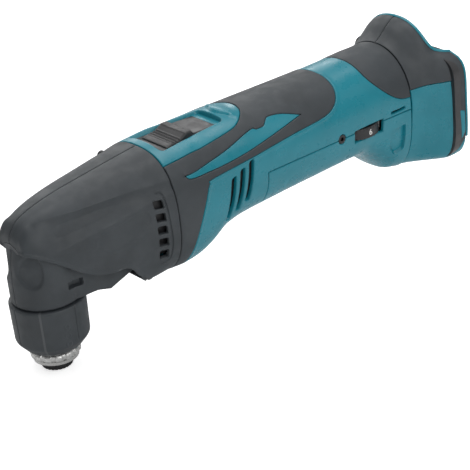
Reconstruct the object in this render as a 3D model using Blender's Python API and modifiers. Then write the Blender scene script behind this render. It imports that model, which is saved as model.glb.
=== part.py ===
"""A cordless oscillating multi tool without its battery, built as its separate pieces.

Every size is in millimetres and is turned to metres where a mesh is made. While the pieces are
drawn, x = 0 is the spindle's axis, z = 0 is the motor's axis and +X runs back to the battery end.
One empty then carries them all, so that the tool stands centred on the ground plane.
"""

import math

import bmesh
import bpy
from mathutils import Matrix, Vector

MM = 0.001

# Walls and fits
WALL = 2.5  # moulded casings
SKIN = 1.2  # soft grip layer
GAP = 0.3  # between two pieces that meet
FIT = 0.3  # round a shaft, a pin or a screw in its hole
RING_POINTS = 24  # points round one section of the body

# Lengths along the tool
NOSE_X = -15.5
HEAD_SEAM_X = 62.5
LOWER_COVER_X = 121.0
NECK_SEAM_X = 224.0
PANEL_END_X = 244.0
REAR_X = 252.6
TERMINAL_FRONT = REAR_X - 19.6

# Spindle and accessory clamp
SPINDLE_RADIUS = 5.0
COLLAR_TOP = -32.0
COLLAR_BOTTOM = -61.0
COLLAR_RADIUS = 19.5
FLANGE_RADIUS = 12.6
FLANGE_TOP = -58.0
FLANGE_FACE = -65.0
SEAT_HEIGHT = 0.3
CLAMP_RADIUS = 8.7
CLAMP_FLANGE_THICK = 1.6
BOLT_HEAD_THICK = 2.4
LOWEST = FLANGE_FACE - GAP - CLAMP_FLANGE_THICK - GAP - BOLT_HEAD_THICK

# Swing drive
ECCENTRICITY = 0.8
ECCENTRIC_X = 28.0
ECCENTRIC_BEARING_RADIUS = 6.5
LINKAGE_CLEARANCE = 1.9  # the opened pivot's room on each side
FORK_TINE_THICK = 3.2

FORK_HUB_RADIUS = 9.0
UPPER_BEARING_Z = 2.8  # each bearing's lower face
LOWER_BEARING_Z = -53.3
HOUSING_TOP = 8.2
HOUSING_BOTTOM = -56.6

# Motor
SHAFT_RADIUS = 4.0
CAN_RADIUS = 16.8
CAN_FRONT = 76.0
CAN_BACK = 119.0
ROTOR_RADIUS = 10.5
FAN_RADIUS = 19.0

# Bearings: bore radius is the shaft's, widths and outer radii are the bought parts'
UPPER_BEARING = {"radius": 8.0, "width": 5.0}
LOWER_BEARING = {"radius": 11.0, "width": 7.0}
MOTOR_BEARING = {"radius": 9.5, "width": 6.0}

# Switch
BUTTON = {"front": 73.0, "back": 106.0, "half_width": 10.4}
SWITCH_RECESS = {"front": 68.0, "back": 109.0, "half_width": 12.0}
RECESS_FLOOR = 22.5
FLOOR_THICK = 2.0
SWITCH_TRAVEL = 4.5

# Speed dial, turning about an upright axis behind the side window
DIAL = {"x": 192.5, "y": -13.2, "z": -4.9, "radius": 14.0, "thick": 6.0}
DIAL_WINDOW = {"front": 182.0, "back": 203.0, "low": -8.6, "high": -1.2}

# Sections: x, top, bottom, half width, height of the widest point, upper and lower roundness
HEAD = [
    (NOSE_X, 1.8, -30.0, 8.5, -9.0, 2.5, 2.4),
    (-15.0, 5.2, -31.0, 10.6, -9.0, 2.5, 2.4),
    (-13.9, 7.6, -32.0, 12.2, -9.0, 2.5, 2.4),
    (-10.7, 11.4, -34.0, 14.6, -9.0, 2.5, 2.4),
    (-3.8, 14.8, -36.0, 17.4, -9.0, 2.5, 2.4),
    (11.0, 18.5, -38.0, 21.3, -9.0, 2.5, 2.4),
    (33.0, 21.7, -40.5, 25.0, -9.0, 2.5, 2.4),
    (50.0, 24.0, -41.8, 27.6, -9.0, 2.5, 2.4),
    (HEAD_SEAM_X, 25.5, -40.6, 29.5, -9.0, 2.6, 2.3),
]
GRIP = [
    (HEAD_SEAM_X, 25.5, -40.6, 29.5, -9.0, 2.6, 2.3),
    (72.0, 26.6, -41.2, 29.5, -8.0, 2.5, 2.3),
    (80.0, 27.0, -40.2, 29.3, -6.5, 2.5, 2.3),
    (87.0, 27.0, -37.5, 29.0, -4.5, 2.4, 2.3),
    (98.0, 27.0, -30.5, 28.6, -2.0, 2.4, 2.3),
    (110.0, 27.0, -28.0, 28.3, -0.5, 2.4, 2.3),
    (125.0, 27.0, -27.0, 28.0, 0.0, 2.3, 2.3),
    (160.0, 27.0, -25.6, 27.4, 0.8, 2.3, 2.3),
    (195.0, 28.0, -24.6, 26.5, 1.5, 2.2, 2.4),
    (202.0, 28.4, -28.0, 26.3, 1.5, 2.2, 2.5),
    (209.0, 28.8, -34.0, 26.2, 1.0, 2.2, 2.6),
    (217.0, 29.2, -40.0, 26.2, 0.5, 2.1, 2.7),
    (NECK_SEAM_X, 29.5, -41.5, 26.4, 0.5, 2.1, 2.8),
]
FOOT = [
    (NECK_SEAM_X, 29.5, -41.5, 26.4, 0.5, 2.1, 2.8),
    (230.0, 29.0, -41.5, 28.0, 0.5, 2.3, 3.2),
    (236.0, 28.0, -41.4, 31.2, 0.0, 2.8, 3.8),
    (242.0, 26.0, -41.2, 35.6, -1.0, 3.6, 4.4),
    (247.0, 24.0, -40.6, 38.6, -2.0, 4.6, 5.0),
    (REAR_X, 22.5, -39.5, 40.0, -3.0, 5.6, 5.0),
]
HOOD = [
    (225.0, 28.8, -12.0, 25.8, 0.5, 2.1, 2.8),
    (229.0, 33.0, -12.0, 26.6, 0.5, 2.2, 2.8),
    (234.0, 37.6, -12.0, 27.2, 0.5, 2.3, 2.8),
    (240.0, 41.0, -12.0, 28.5, 0.5, 2.4, 2.8),
]
HOOD_END_X = HOOD[-1][0]
REAR_LAYER_END_X = HOOD_END_X - 1.5

# The gear cover's turned outline, radius and height, and its arm's sections
GEAR_COVER_OUTLINE = [(12.6, 1.0), (15.0, -9.0), (17.0, -19.0), (17.6, -27.0), (17.6, COLLAR_TOP + GAP)]
ARM = [
    (2.0, -16.4, -31.5, 15.5, -25.0, 4.0, 4.0),
    (21.0, -16.4, -31.5, 16.2, -25.0, 4.0, 4.0),
    (27.0, -16.4, -34.2, 16.5, -25.0, 4.0, 4.0),
    (40.0, -17.4, -29.5, 17.0, -23.0, 4.0, 4.0),
    (44.0, -18.4, -27.0, 16.0, -22.5, 4.0, 4.0),
]
GEAR_CASE = [
    (2.0, 9.5, -10.5, 14.2, 0, 3.5, 3.5),
    (22.0, 12.0, -13.0, 15.2, 0, 4, 4),
    (60.0, 15.5, -15.0, 17.0, 0, 4, 4),
]
GEAR_ROOM = [
    (4.0, 6.8, -7.2, 12.7, 0, 5, 5),
    (22.0, 10.0, -10.8, 13.2, 0, 5, 5),
    (53.5, 11.0, -11.0, 13.2, 0, 5, 5),
]
COLLAR_OUTLINE = [(COLLAR_RADIUS, COLLAR_TOP), (19.1, -56.0), (14.2, COLLAR_BOTTOM)]

# Side outlines, as x and z
HEAD_EDGE = [
    (-15.5, 2.2), (-12.6, 0.8), (-5.0, -4.5), (0.5, -9.0), (9.0, -17.3), (17.0, -22.4),
    (25.5, -24.2), (34.5, -25.6), (40.0, -30.0), (44.0, -32.5), (53.0, -42.5),
]
GRIP_LAYER_EDGE = [
    (71.0, -27.0), (82.5, 4.3), (85.0, 6.6), (117.0, 9.5), (141.0, 12.0), (165.0, 13.0),
    (172.0, 16.0), (177.0, 22.0), (179.0, 27.0),
]
NECK_LAYER_EDGE = [(198.0, 30.0), (199.0, 21.0), (205.0, 14.5), (212.0, 9.0), (218.0, 5.5), (226.0, 4.0)]
LOWER_COVER_TOP = -2.4
REAR_LAYER_LOW = 9.0

# Switch panel outline on top, as x and half width
PANEL_EDGE = [
    (63.2, 21.0), (66.0, 20.9), (82.0, 20.2), (104.0, 18.2), (113.0, 16.0), (120.5, 10.0), (123.5, 3.6),
]  # fmt: skip
PANEL_LOW = 12.0

# Screws: x, z, and the piece of the tool that each one closes
HEAD_SCREWS = [(53.0, 18.7), (54.0, -30.0)]
GEAR_COVER_SCREWS = [(26.6, -23.7)]
REAR_SCREWS = [(232.0, 20.0), (236.0, -30.0)]
LOWER_COVER_SCREW = (172.7, -2.4)
BOSS_RADIUS = 3.3
SCREW_RADIUS = 1.4
SCREW_HEAD_RADIUS = 2.4
SCREW_HEAD_THICK = 1.8
SCREW_TIP_Y = -11.0

# Battery interface
RAIL_HALF_GAP = 26.0
CAVITY_DEPTH = 5.6
TERMINAL_Y = 12.0

COLOURS = {
    "teal_plastic": ((0.0, 0.19, 0.25, 1.0), 0.42, 0.0),
    "grey_elastomer": ((0.055, 0.06, 0.065, 1.0), 0.62, 0.0),
    "black_plastic": ((0.02, 0.02, 0.022, 1.0), 0.5, 0.0),
    "aluminium": ((0.72, 0.73, 0.74, 1.0), 0.38, 1.0),
    "steel": ((0.6, 0.6, 0.61, 1.0), 0.28, 1.0),
    "black_steel": ((0.05, 0.05, 0.05, 1.0), 0.4, 1.0),
    "copper": ((0.8, 0.42, 0.25, 1.0), 0.35, 1.0),
    "carbon": ((0.03, 0.03, 0.03, 1.0), 0.7, 0.0),
    "circuit_board": ((0.02, 0.16, 0.06, 1.0), 0.5, 0.0),
    "red_sleeve": ((0.6, 0.02, 0.02, 1.0), 0.45, 0.0),
    "clear_lens": ((0.85, 0.87, 0.9, 1.0), 0.1, 0.0),
}


def clear_scene():
    for old in list(bpy.data.objects):
        bpy.data.objects.remove(old, do_unlink=True)


def new_collection(name):
    collection = bpy.data.collections.new(name)
    bpy.context.scene.collection.children.link(collection)
    return collection


def make_materials():
    made = {}
    for name, (colour, roughness, metallic) in COLOURS.items():
        material = bpy.data.materials.new(name)
        material.use_nodes = True
        shader = material.node_tree.nodes["Principled BSDF"]
        shader.inputs["Base Color"].default_value = colour
        shader.inputs["Roughness"].default_value = roughness
        shader.inputs["Metallic"].default_value = metallic
        made[name] = material
    return made


clear_scene()
PARTS = new_collection("oscillating_multi_tool")
CUTTERS = new_collection("cutters")
MATERIALS = make_materials()
AXES = {}


def axis_empty(name, place=(0, 0, 0)):
    """An empty on a joint's axis, which carries the pieces that turn or slide with it."""
    empty = bpy.data.objects.new(name, None)
    PARTS.objects.link(empty)
    empty.location = Vector(place) * MM
    empty.parent = AXES.get("tool")
    AXES[name] = empty
    return empty


TOOL = axis_empty("tool")  # carries every piece and cutter, and is moved once all are made


# ---- shapes -------------------------------------------------------------------------------


def add_mesh(mesh, name="cutter"):
    """Every shape starts as a cutter; node() turns it into a piece of the tool."""
    obj = bpy.data.objects.new(name, mesh)
    CUTTERS.objects.link(obj)
    obj.hide_render = True
    obj.display_type = "WIRE"
    obj.parent = TOOL
    return obj


def from_bmesh(shape):
    bmesh.ops.recalc_face_normals(shape, faces=shape.faces)
    mesh = bpy.data.meshes.new("shape")
    shape.to_mesh(mesh)
    shape.free()
    return add_mesh(mesh)


def box(low, high):
    shape = bmesh.new()
    bmesh.ops.create_cube(shape, size=1.0)
    for vert in shape.verts:
        vert.co = Vector([MM * (low[i] if vert.co[i] < 0 else high[i]) for i in range(3)])
    return from_bmesh(shape)


def cylinder(radius, start, end, segments=18):
    """A round bar between two points."""
    axis = Vector(end) - Vector(start)
    shape = bmesh.new()
    bmesh.ops.create_cone(
        shape,
        cap_ends=True,
        segments=segments,
        radius1=radius * MM,
        radius2=radius * MM,
        depth=axis.length * MM,
    )
    turn = Vector((0, 0, 1)).rotation_difference(axis).to_matrix().to_4x4()
    middle = (Vector(start) + Vector(end)) / 2 * MM
    bmesh.ops.transform(shape, matrix=Matrix.Translation(middle) @ turn, verts=shape.verts)
    return from_bmesh(shape)


def prism(outline, axis, low, high):
    """A flat outline carried along one axis; outline gives the other two coordinates in order."""
    others = [i for i in range(3) if i != axis]
    shape = bmesh.new()
    for level in (low, high):
        for point in outline:
            place = Vector((0, 0, 0))
            place[axis] = level * MM
            place[others[0]] = point[0] * MM
            place[others[1]] = point[1] * MM
            shape.verts.new(place)
    shape.verts.ensure_lookup_table()
    count = len(outline)
    shape.faces.new(shape.verts[:count])
    shape.faces.new(shape.verts[count:])
    for i in range(count):
        j = (i + 1) % count
        shape.faces.new([shape.verts[k] for k in (i, j, count + j, count + i)])
    return from_bmesh(shape)


def turned(outline, steps=24, along_x=False):
    """A closed outline of radius and height turned about Z, or about X where along_x is set."""
    mesh = bpy.data.meshes.new("outline")
    count = len(outline)
    sides = [(i, (i + 1) % count) for i in range(count)]
    sides = [side for side in sides if any(outline[i][0] > 0 for i in side)]
    mesh.from_pydata([(radius * MM, 0, height * MM) for radius, height in outline], sides, [])
    obj = add_mesh(mesh)
    screw = obj.modifiers.new("turn", "SCREW")
    screw.steps = steps
    screw.render_steps = steps
    screw.use_merge_vertices = True
    screw.merge_threshold = 1e-5
    screw.use_normal_calculate = True
    if along_x:
        obj.rotation_euler = (0, math.pi / 2, 0)
    return settled(obj)


def settled(obj):
    """The shape as its modifiers leave it, as a plain mesh whose faces point out."""
    bpy.context.view_layer.update()
    evaluated = obj.evaluated_get(bpy.context.evaluated_depsgraph_get())
    mesh = bpy.data.meshes.new_from_object(evaluated)
    mesh.transform(obj.matrix_world)
    bpy.data.objects.remove(obj, do_unlink=True)
    shape = bmesh.new()
    shape.from_mesh(mesh)
    bmesh.ops.remove_doubles(shape, verts=shape.verts, dist=1e-6)
    bpy.data.meshes.remove(mesh)
    return from_bmesh(shape)


def section_at(stations, x):
    """The section at x, part of the way between its two neighbours in the list."""
    for before, after in zip(stations, stations[1:]):
        if before[0] <= x <= after[0]:
            share = (x - before[0]) / (after[0] - before[0])
            return tuple(a + (b - a) * share for a, b in zip(before, after))
    return stations[0] if x < stations[0][0] else stations[-1]


def power(value, exponent):
    return math.copysign(abs(value) ** exponent, value)


def section_ring(section, x, inset):
    _, top, bottom, half_width, widest, upper, lower = section
    ring = []
    for i in range(RING_POINTS):
        angle = 2 * math.pi * i / RING_POINTS
        exponent = 2 / (upper if math.sin(angle) >= 0 else lower)
        reach = (top - widest if math.sin(angle) >= 0 else widest - bottom) - inset
        across = (half_width - inset) * power(math.cos(angle), exponent)
        ring.append((x, across, widest + reach * power(math.sin(angle), exponent)))
    return ring


def loft(stations, inset=0.0, start=None, end=None):
    """A solid skinned over the sections from start to end, every section drawn in by inset."""
    start = stations[0][0] if start is None else start
    end = stations[-1][0] if end is None else end
    places = [start] + [s[0] for s in stations if start + 0.5 < s[0] < end - 0.5] + [end]
    shape = bmesh.new()
    rings = []
    for x in places:
        ring = section_ring(section_at(stations, x), x, inset)
        rings.append([shape.verts.new(Vector(point) * MM) for point in ring])
    for ring, following in zip(rings, rings[1:]):
        for i in range(RING_POINTS):
            j = (i + 1) % RING_POINTS
            shape.faces.new((ring[i], ring[j], following[j], following[i]))
    shape.faces.new(rings[0])
    shape.faces.new(rings[-1])
    bmesh.ops.triangulate(shape, faces=shape.faces)
    return from_bmesh(shape)


# ---- joining and cutting ----------------------------------------------------------------------


def combine(obj, operation, others):
    for other in others:
        modifier = obj.modifiers.new(operation.lower(), "BOOLEAN")
        modifier.operation = operation
        modifier.solver = "EXACT"
        modifier.object = other
    return obj


def cut(obj, *others):
    return combine(obj, "DIFFERENCE", others)


def keep(obj, *others):
    return combine(obj, "INTERSECT", others)


def join(obj, *others):
    return combine(obj, "UNION", others)


def node(obj, name, material, carrier="tool"):
    """Makes the shape a named piece of the tool, carried by its joint's empty."""
    CUTTERS.objects.unlink(obj)
    PARTS.objects.link(obj)
    obj.hide_render = False
    obj.display_type = "TEXTURED"
    obj.name = name
    obj.data.name = name
    obj.data.materials.append(MATERIALS[material])
    obj.data.shade_smooth()
    obj.data.set_sharp_from_angle(angle=math.radians(35))
    obj.parent = AXES[carrier]
    if carrier != "tool":
        obj.location = -AXES[carrier].location
    return obj


def side_half(obj, left):
    """One of two halves that meet at the middle plane; the left one is at -Y."""
    reach = 60.0
    edge = GAP / 2
    low, high = (-reach, -edge) if left else (edge, reach)
    return keep(obj, box((-40, low, -90), (300, high, 90)))


SIDES = (("left", True, -1), ("right", False, 1))


# ---- regions that outer pieces share ------------------------------------------------------------


def grip_layer_region(room=0.0):
    """The upper and front part of the grip that the soft layer covers, seen from the side."""
    edge = [(x + room, z - room) for x, z in GRIP_LAYER_EDGE]
    outline = [(HEAD_SEAM_X - 5, 60.0), (HEAD_SEAM_X - 5, -60.0), (edge[0][0], -60.0)]
    return prism(outline + edge + [(edge[-1][0], 60.0)], 1, -60, 60)


def neck_layer_region(room=0.0):
    edge = [(x - room, z - room) for x, z in NECK_LAYER_EDGE]
    return prism([(edge[0][0], 60.0)] + edge + [(NECK_SEAM_X + 5, 60.0)], 1, -60, 60)


def lower_cover_region(room=0.0):
    """Below the parting line, with a round ear about each cover screw."""
    x, z = LOWER_COVER_SCREW
    ear = BOSS_RADIUS + 1.5 + room
    half = math.sqrt(ear**2 - (LOWER_COVER_TOP + room - z) ** 2)
    arc = [
        (x + half * math.cos(math.pi * i / 8), LOWER_COVER_TOP + room + ear * math.sin(math.pi * i / 8))
        for i in range(9)
    ]
    front, back, top = LOWER_COVER_X - room, NECK_SEAM_X + 5, LOWER_COVER_TOP + room
    return prism([(front, -60.0), (back, -60.0), (back, top), *arc, (front, top)], 1, -60, 60)


def switch_panel_region(room=0.0):
    """The panel's plan outline, wide at the head and rounded at its tail."""
    edge = [(x + room, y + room) for x, y in PANEL_EDGE]
    edge[0] = (HEAD_SEAM_X - 5 if room else HEAD_SEAM_X + GAP, edge[0][1])
    outline = edge + [(x, -y) for x, y in reversed(edge)]
    return prism(outline, 2, PANEL_LOW - room, 60)


def tray_region(room=0.0):
    s = SWITCH_RECESS
    side = s["half_width"] + 1.8 + room
    low = RECESS_FLOOR - FLOOR_THICK - room
    return box((s["front"] - 1.8 - room, -side, low), (s["back"] + 1.8 + room, side, 60))


def outside_of(stations, inset, region, start, end):
    """Everything in a region further out than inset below the surface, as a cutter."""
    inner = loft(stations, inset, start - 20, end + 20)
    return cut(region, inner)


# ---- head -------------------------------------------------------------------------------------


def below_head_edge(room=0.0):
    outline = [(x, z - room) for x, z in HEAD_EDGE]
    return prism([(-40, HEAD_EDGE[0][1] - room)] + outline + [(53.0, -80), (-40, -80)], 1, -60, 60)


def gear_cover_solid(inset=0.0, room=0.0):
    """The spindle's turned barrel and the arm that runs back under the head."""
    outline = [(r - inset + room, z) for r, z in GEAR_COVER_OUTLINE]
    top = outline[0][1] - inset + room
    bottom = outline[-1][1] - room - (5 if inset else 0)
    widest = outline[-1][0]
    barrel = turned([(0, top), (outline[0][0], top)] + outline[1:-1] + [(widest, bottom), (0, bottom)])
    arm = loft(ARM, inset - room, ARM[0][0], ARM[-1][0] - inset + room)
    return join(barrel, arm)


def room_round_bosses(room, screws):
    """A casing's hollow with a round pillar left standing across it for each screw."""
    return settled(cut(room, *(cylinder(BOSS_RADIUS, (x, -60, z), (x, 60, z)) for x, z in screws)))


def head_covers():
    for side, left, sign in SIDES:
        shell = loft(HEAD, 0, NOSE_X, HEAD_SEAM_X - GAP / 2)
        room = loft(HEAD, WALL, NOSE_X + WALL, HEAD_SEAM_X + 9)
        cut(shell, room_round_bosses(room, HEAD_SCREWS))
        cut(shell, below_head_edge(), settled(gear_cover_solid(0, GAP)))
        for x, z in HEAD_SCREWS:
            cut(shell, screw_hole(x, z))
            if not left:
                cut(shell, screw_head_room(x, z, HEAD))
        for step in range(5):
            z = 6.0 - 7.0 * step
            cut(shell, box((50.0, sign * 15 - 15, z - 2.4), (55.0, sign * 15 + 15, z + 2.4)))
        side_half(shell, left)
        node(shell, f"head_cover_{side}", "grey_elastomer")


def gear_covers():
    for side, left, sign in SIDES:
        shell = settled(gear_cover_solid())
        cut(shell, room_round_bosses(settled(gear_cover_solid(inset=WALL)), GEAR_COVER_SCREWS))
        cut(shell, loft(GEAR_CASE, -GAP))
        cut(shell, cylinder(UPPER_BEARING["radius"] + WALL + GAP, (0, 0, -20.0), (0, 0, 20.0)))
        for x, z in GEAR_COVER_SCREWS:
            cut(shell, screw_hole(x, z))
            if not left:
                cut(shell, cylinder(SCREW_HEAD_RADIUS + FIT, (x, 14.2, z), (x, 31, z), 14))
        side_half(shell, left)
        node(shell, f"gear_cover_{side}", "grey_elastomer")


def guard_collar():
    outer = [(r, z) for r, z in COLLAR_OUTLINE]
    bore = LOWER_BEARING["radius"] + WALL + 1.0 + GAP
    lip = FLANGE_RADIUS + 0.5
    profile = outer + [(lip, COLLAR_BOTTOM), (lip, -57.2), (bore, -57.2), (bore, COLLAR_TOP)]
    node(turned(profile), "guard_collar", "grey_elastomer")


def screw_head_room(x, z, stations):
    width = section_at(stations, x)[3]
    depth = surface_y(stations, x, z) - 3.2
    return cylinder(SCREW_HEAD_RADIUS + FIT, (x, depth, z), (x, width + 20, z), 16)


def screw_hole(x, z):
    """A blind hole through both halves, open on the right."""
    return cylinder(SCREW_RADIUS + FIT, (x, 50, z), (x, SCREW_TIP_Y - 1, z), 12)


def surface_y(stations, x, z):
    """Half the body's width at x and height z."""
    _, top, bottom, half_width, widest, upper, lower = section_at(stations, x)
    rise = (z - widest) / (top - widest) if z >= widest else (widest - z) / (widest - bottom)
    exponent = upper if z >= widest else lower
    return half_width * (1 - min(rise, 1) ** exponent) ** (1 / exponent)


def screw_across(name, x, z, head_y, tip_y):
    """A screw along Y, its head at head_y and its point at tip_y."""
    sign = 1 if tip_y > head_y else -1
    neck = head_y + sign * SCREW_HEAD_THICK
    shape = cylinder(SCREW_HEAD_RADIUS, (x, head_y, z), (x, neck, z), 16)
    join(shape, cylinder(SCREW_RADIUS, (x, neck - sign * 0.4, z), (x, tip_y, z), 12))
    socket = cylinder(1.2, (x, head_y - sign, z), (x, head_y + sign * 1.1, z), 6)
    node(cut(shape, socket), name, "black_steel")


def gear_housing():
    """Holds both spindle bearings, the swing fork's room and the motor's front bearing."""
    lower = LOWER_BEARING["radius"] + WALL + 1.0
    upper = UPPER_BEARING["radius"] + WALL
    body = turned(
        [(0, HOUSING_TOP), (upper, HOUSING_TOP), (upper, -20.0), (lower, -34.0), (lower, HOUSING_BOTTOM)]
        + [(0, HOUSING_BOTTOM)]
    )
    join(body, loft(GEAR_CASE), cylinder(20.0, (57.0, 0, 0), (61.8, 0, 0)))
    cut(body, loft(GEAR_ROOM))
    cut(body, cylinder(MOTOR_BEARING["radius"] + GAP, (55.6, 0, 0), (70.0, 0, 0)))
    cut(body, cylinder(SHAFT_RADIUS + 1.2, (40.0, 0, 0), (70.0, 0, 0)))
    cut(body, cylinder(SPINDLE_RADIUS + 1.4, (0, 0, -70), (0, 0, 12)))
    upper_seat = UPPER_BEARING_Z - GAP
    lower_seat = LOWER_BEARING_Z + LOWER_BEARING["width"] + GAP
    cut(body, cylinder(UPPER_BEARING["radius"] + GAP, (0, 0, upper_seat), (0, 0, 30.0)))
    cut(body, cylinder(LOWER_BEARING["radius"] + GAP, (0, 0, lower_seat), (0, 0, -70.0)))
    cut(body, cylinder(FORK_HUB_RADIUS + 0.6, (0, 0, -9.0), (0, 0, upper_seat - 0.6)))
    node(body, "gear_housing", "aluminium")


def ring_bearing(name, size, bore, start, along_x, material="steel"):
    """A ball bearing as one ring, from start along its axis for its width."""
    end = start + size["width"]
    outer, inner = size["radius"], bore + GAP
    chamfer = 0.4
    profile = [(outer - chamfer, end), (outer, end - chamfer), (outer, start + chamfer)]
    profile += [(outer - chamfer, start), (inner, start), (inner, end)]
    return node(turned(profile, 18, along_x), name, material)


def spindle_group():
    axis_empty("spindle_axis")
    shoulder = SPINDLE_RADIUS + 1.0
    profile = [(0, 9.2), (3.6, 9.2), (4.0, 8.8), (4.0, UPPER_BEARING_Z - GAP), (SPINDLE_RADIUS, 2.4)]
    profile += [(SPINDLE_RADIUS, -44.4)]
    profile += [(4.6, -44.4), (4.6, FLANGE_TOP + GAP), (0, FLANGE_TOP + GAP)]
    shaft = turned(profile, 20)
    cut(shaft, cylinder(3.0 + FIT, (0, 0, -90), (0, 0, -34.0)))
    node(shaft, "spindle", "steel", "spindle_axis")

    seat = CLAMP_RADIUS + 0.5  # the accessory rests on a raised ring, clear of the clamp flange
    flange = turned(
        [(shoulder, FLANGE_TOP), (shoulder + 1, FLANGE_TOP), (FLANGE_RADIUS, FLANGE_TOP - 2.5)]
        + [(FLANGE_RADIUS, FLANGE_FACE), (seat, FLANGE_FACE), (seat, FLANGE_FACE + SEAT_HEIGHT)]
        + [(3.0 + FIT, FLANGE_FACE + SEAT_HEIGHT), (3.0 + FIT, FLANGE_TOP)],
        40,
    )
    teeth = 10
    for i in range(teeth):
        angle = 2 * math.pi * (i + 0.5) / teeth
        place = (FLANGE_RADIUS * math.cos(angle), FLANGE_RADIUS * math.sin(angle))
        cut(flange, cylinder(0.9, (*place, FLANGE_FACE - 1), (*place, FLANGE_FACE + 3.2), 6))
    node(flange, "drive_flange", "steel", "spindle_axis")

    tine_inner = ECCENTRIC_BEARING_RADIUS + LINKAGE_CLEARANCE
    tine_outer = tine_inner + FORK_TINE_THICK
    top = UPPER_BEARING_Z - 1.4
    fork = cylinder(FORK_HUB_RADIUS, (0, 0, -5.0), (0, 0, top))
    join(fork, box((5.2, -tine_outer, -5.0), (15.0, tine_outer, top)))
    for sign in (-1, 1):
        low, high = sorted((sign * tine_inner, sign * tine_outer))
        join(fork, box((12.0, low, -5.0), (ECCENTRIC_X + 5.0, high, 5.0)))
    cut(fork, cylinder(SPINDLE_RADIUS + GAP, (0, 0, -20), (0, 0, 20)))
    cut(fork, box((15.0, -tine_inner, -9), (60.0, tine_inner, 9)))
    node(fork, "swing_fork", "steel", "spindle_axis")


def clamp_group():
    axis_empty("clamp_axis")
    top = FLANGE_FACE - GAP
    bottom = top - CLAMP_FLANGE_THICK
    washer = turned([(CLAMP_RADIUS, top), (CLAMP_RADIUS, bottom), (3.0 + FIT, bottom), (3.0 + FIT, top)], 32)
    node(washer, "clamp_flange", "black_steel", "clamp_axis")
    head_top = bottom - GAP
    bolt = turned(
        [(0, -38.0), (2.6, -38.0), (3.0, -38.6), (3.0, head_top), (CLAMP_RADIUS - 0.8, head_top)]
        + [(CLAMP_RADIUS - 0.8, LOWEST + 0.6), (CLAMP_RADIUS - 1.4, LOWEST), (0, LOWEST)],
        32,
    )
    cut(bolt, cylinder(3.4, (0, 0, LOWEST - 3), (0, 0, LOWEST + 1.7), 6))
    node(bolt, "clamp_bolt", "black_steel", "clamp_axis")


def spindle_bearings():
    ring_bearing("spindle_bearing_upper", UPPER_BEARING, 4.0, UPPER_BEARING_Z, False)
    ring_bearing("spindle_bearing_lower", LOWER_BEARING, 4.6, LOWER_BEARING_Z, False)
    outer = LOWER_BEARING["radius"]
    top, bottom = LOWER_BEARING_Z - GAP, HOUSING_BOTTOM + GAP
    seal = turned([(outer, top), (outer, bottom), (4.6 + FIT, bottom), (4.6 + FIT, top)])
    node(seal, "dust_seal", "black_plastic")


def work_light():
    """The lamp under the head and the lens that closes the opening in front of it."""
    lens = prism([(46.8, -34.0), (50.4, -38.0), (53.0, -38.0), (49.4, -34.0)], 1, -7.0, 7.0)
    node(lens, "light_lens", "clear_lens")
    board = box((54.2, -6.0, -37.8), (55.6, 6.0, -34.0))
    join(board, cylinder(1.4, (53.4, 0, -36.0), (54.6, 0, -36.0), 12))
    node(board, "light_board", "circuit_board")


# ---- motor ------------------------------------------------------------------------------------


def motor_group():
    axis_empty("motor_axis")
    front, back = ECCENTRIC_X - 4.0, 134.0
    shaft = cylinder(SHAFT_RADIUS, (ECCENTRIC_X + 4.6, 0, 0), (back, 0, 0))
    pin = cylinder(2.8, (front, 0, ECCENTRICITY), (ECCENTRIC_X + 6.0, 0, ECCENTRICITY), 20)
    weight = cut(
        cylinder(9.2, (ECCENTRIC_X + 7.0, 0, 0), (ECCENTRIC_X + 12.0, 0, 0), 28),
        box((0, -20, 2.0), (90, 20, 20)),
    )
    join(shaft, pin, settled(weight))
    node(shaft, "motor_shaft", "steel", "motor_axis")

    width = {"radius": ECCENTRIC_BEARING_RADIUS, "width": 6.0}
    bearing = ring_bearing("eccentric_bearing", width, 2.8, ECCENTRIC_X - 3.0, True)
    bearing.parent = AXES["motor_axis"]
    bearing.location = Vector((0, 0, ECCENTRICITY)) * MM

    bore = SHAFT_RADIUS + GAP
    stack = turned([(ROTOR_RADIUS, 110), (ROTOR_RADIUS, 84), (bore, 84), (bore, 110)], 28, True)
    for i in range(8):
        angle = 2 * math.pi * i / 8
        y, z = ROTOR_RADIUS * math.cos(angle), ROTOR_RADIUS * math.sin(angle)
        cut(stack, cylinder(1.3, (80, y, z), (115, y, z), 8))
    node(stack, "rotor_core", "black_steel", "motor_axis")
    ring = turned([(7.0, 117.4), (7.0, 110.6), (bore, 110.6), (bore, 117.4)], 20, True)
    node(ring, "commutator", "copper", "motor_axis")

    hub = turned([(7.5, 73.4), (7.5, 68.4), (bore, 68.4), (bore, 73.4)], 20, True)
    plate = turned([(FAN_RADIUS, 73.4), (FAN_RADIUS, 72.0), (5.0, 72.0), (5.0, 73.4)], 28, True)
    join(hub, plate)
    blades = 11
    for i in range(blades):
        blade = box((68.6, -0.6, 6.5), (72.6, 0.6, FAN_RADIUS - 0.4))
        blade.data.transform(Matrix.Rotation(2 * math.pi * i / blades, 4, "X"))
        join(hub, blade)
    node(hub, "fan", "black_plastic", "motor_axis")


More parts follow.
